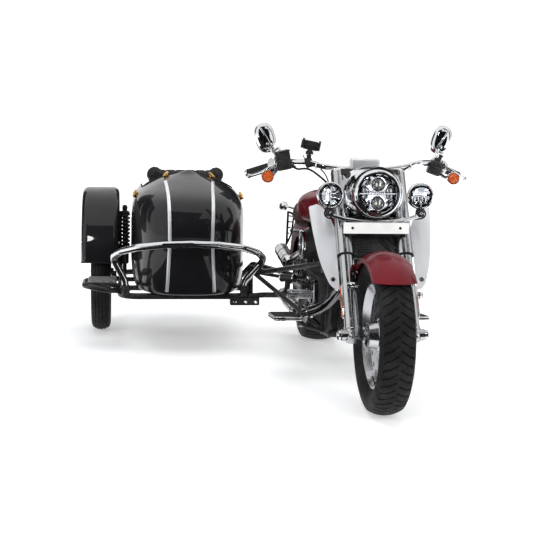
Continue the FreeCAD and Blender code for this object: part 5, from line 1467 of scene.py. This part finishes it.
def make_spring_unit():
    """A coil spring round its damper, between two cups, over a sleeve."""
    foot = v(-1030, 1800, 0)
    here = Matrix.Translation(foot)
    damper = turned("damper", [(330, 8), (330, 11), (382, 11), (384, 19), (470, 19.5), (474, 25), (480, 26), (484, 22),
                               (486, 12), (640, 12), (652, 22), (656, 26), (664, 26), (668, 18), (672, 11), (676, 14),
                               (690, 14), (692, 10), (692, 0.01)], 40, here)
    boot = turned("boot", [(388 + 6 * row, 21 + 3 * (row % 2)) for row in range(16)], 36, here, caps=False)
    turns = [foot + Vector((0.0235 * math.cos(math.radians(30 * step)), 0.0235 * math.sin(math.radians(30 * step)),
                            0.487 + 0.163 * step / 96)) for step in range(97)]
    coil = bar("coil", turns, 6, 3, smooth=3)
    nut = hex_bolt("nut", here @ Matrix.Translation((0, 0, 0.690)), 24, 10)
    piece = fit(joined("spring_unit", [damper, boot, coil, nut]), "chassis", "black_metal")
    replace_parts(piece, "sidecar_shock")


def make_step_mat():
    """Textured grey tread plate and its screws on the step."""
    plate = block("step_tread", (-1212, 1319, 346.5), (-1074, 1531, 350.5), 1.5, 2, HERE)
    fit(plate, "chassis", "black_plastic", "tread_grey")
    bolt_row("step_screws", [v(x, y, 350) for x in (-1202, -1084) for y in (1330, 1520)], (0, 0, 1), "chassis", 8, 3)


def make_side_fender_trim():
    """Rolled edge on the sidecar fender's front, its bolts and its tail lamp."""
    centre = SIDE_AXLE + Vector((0, 0, 0.1))
    edges = []
    for x in (-0.0985, 0.0985):
        foot = 0.411 - centre.z
        run = [(-0.361, foot), (-0.30, foot), (-0.235, foot)]
        edges.append(bar("edge", [centre + Vector((x, y, z)) for y, z in run], 2.6, 3))
    lip = bar("lip", [centre + Vector((x, -0.3615, 0.411 - centre.z)) for x in (-0.098, -0.05, 0, 0.05, 0.098)], 2.6, 3)
    fit(joined("side_fender_lip", edges + [lip]), "chassis", "black_paint")
    skin = skin_of("sidecar_fender")
    heads = []
    for y, up in ((-0.335, -0.02), (-0.335, 0.09), (0.335, -0.02)):
        for way in (-1, 1):
            start = centre + Vector((way * 0.4, y, up))
            place = skin.ray_cast(start, Vector((-way, 0, 0)))[0]
            if place is not None:
                heads.append(hex_bolt("head", aim(place, (way, 0, 0)), 11, 6))
    fit(joined("side_fender_bolts", heads), "chassis", "chrome")
    lamp = aim(centre + Vector((0, 0.355, 0.06)), (0, 1, 0))
    shell = turned("side_tail_shell", [(0, 30), (12, 30), (16, 27), (16, 25)], 40, lamp, caps=False)
    fit(shell, "chassis", "chrome")
    lens = turned("side_tail_lens", [(10, 26), (17, 25.6), (23, 20), (25, 0.01)], 40, lamp)
    fit(lens, "chassis", "amber_lens", "red_lens")


def make_side_wheel_trim():
    """Bright hub cap of the sidecar wheel."""
    cap = turned("side_hub_cap", [(30, 34), (44, 34), (50, 30), (54, 20), (55, 0.01)], 40, aim(SIDE_AXLE, (-1, 0, 0)))
    fit(cap, "sidecar_wheel", "chrome")


def make_frame_fittings():
    """Collars at the hoop's feet, clamp block bolts, strut sleeve rings, body rubbers and cockpit mat."""
    collars = []
    for x in (-428, -1026):
        foot = at(x, HOOP_BACK, 318)
        collars.append(turned("collar", [(-16, 21.4), (-14, 24.5), (10, 24.5), (13, 21.4)], 32, foot, caps=False))
        collars.append(hex_bolt("bolt", aim(v(x, HOOP_BACK - 25, 314), (0, -1, 0)), 12, 7))
    fit(joined("hoop_collars", collars), "chassis", "black_metal")
    bolt_row("clamp_block_bolts", [v(x, 1319.5, 250) for x in (-478, -424, -372)], (0, -1, 0), "chassis", 15, 8)
    low, high = v(-262, 1152, 397), v(-204, 1100, 401)
    rings = [turned("ring", [(-3, 20), (-2.6, 22.4), (2.6, 22.4), (3, 20)], 36, aim(low.lerp(high, share), high - low),
                    caps=False) for share in (0.03, 0.97)]
    fit(joined("sleeve_rings", rings), "chassis", "chrome")
    rubber_pads = [block("pad", (-766, y - 22, 286), (-638, y + 22, 293.5), 2, 1, HERE)
                   for y in (1633, 1963)]
    fit(joined("body_rubbers", rubber_pads), "chassis", "black_plastic")
    mat = block("cockpit_mat", (-880, 1330, 298), (-520, 1690, 304), 2, 1, HERE)
    fit(mat, "chassis", "black_plastic", "tread_grey")


for label, finish in (("triple_clamp", "black_metal"), ("engine_block", "engine_black"),
                      ("cylinder_front", "engine_black"), ("cylinder_rear", "engine_black"),
                      ("exhaust_front", "exhaust_dark"), ("air_cleaner", "engine_black"),
                      ("headlamp_nacelle", "lamp_chrome"), ("lever_left", "polished_wheel"),
                      ("lever_right", "polished_wheel")):
    nodes[label].data.materials.clear()
    nodes[label].data.materials.append(finishes[finish])
for make in (make_fork_trim, make_clamp_covers, make_plate_trim, make_deflector_trim, make_front_fender_trim,
             make_nacelle_louvres, make_lamp_mounts, make_front_brake, make_fork_cables, make_engine_trim,
             make_air_cleaner_trim, make_exhaust_trim, make_tank_trim, make_rear_lamps, make_side_rack,
             make_rear_wheel_trim, make_foot_trim, make_rider_seat, make_sidecar_seat, make_body_strips,
             make_cockpit_edge, make_wing_studs, make_spring_unit, make_step_mat, make_side_fender_trim,
             make_side_wheel_trim, make_frame_fittings):
    make()
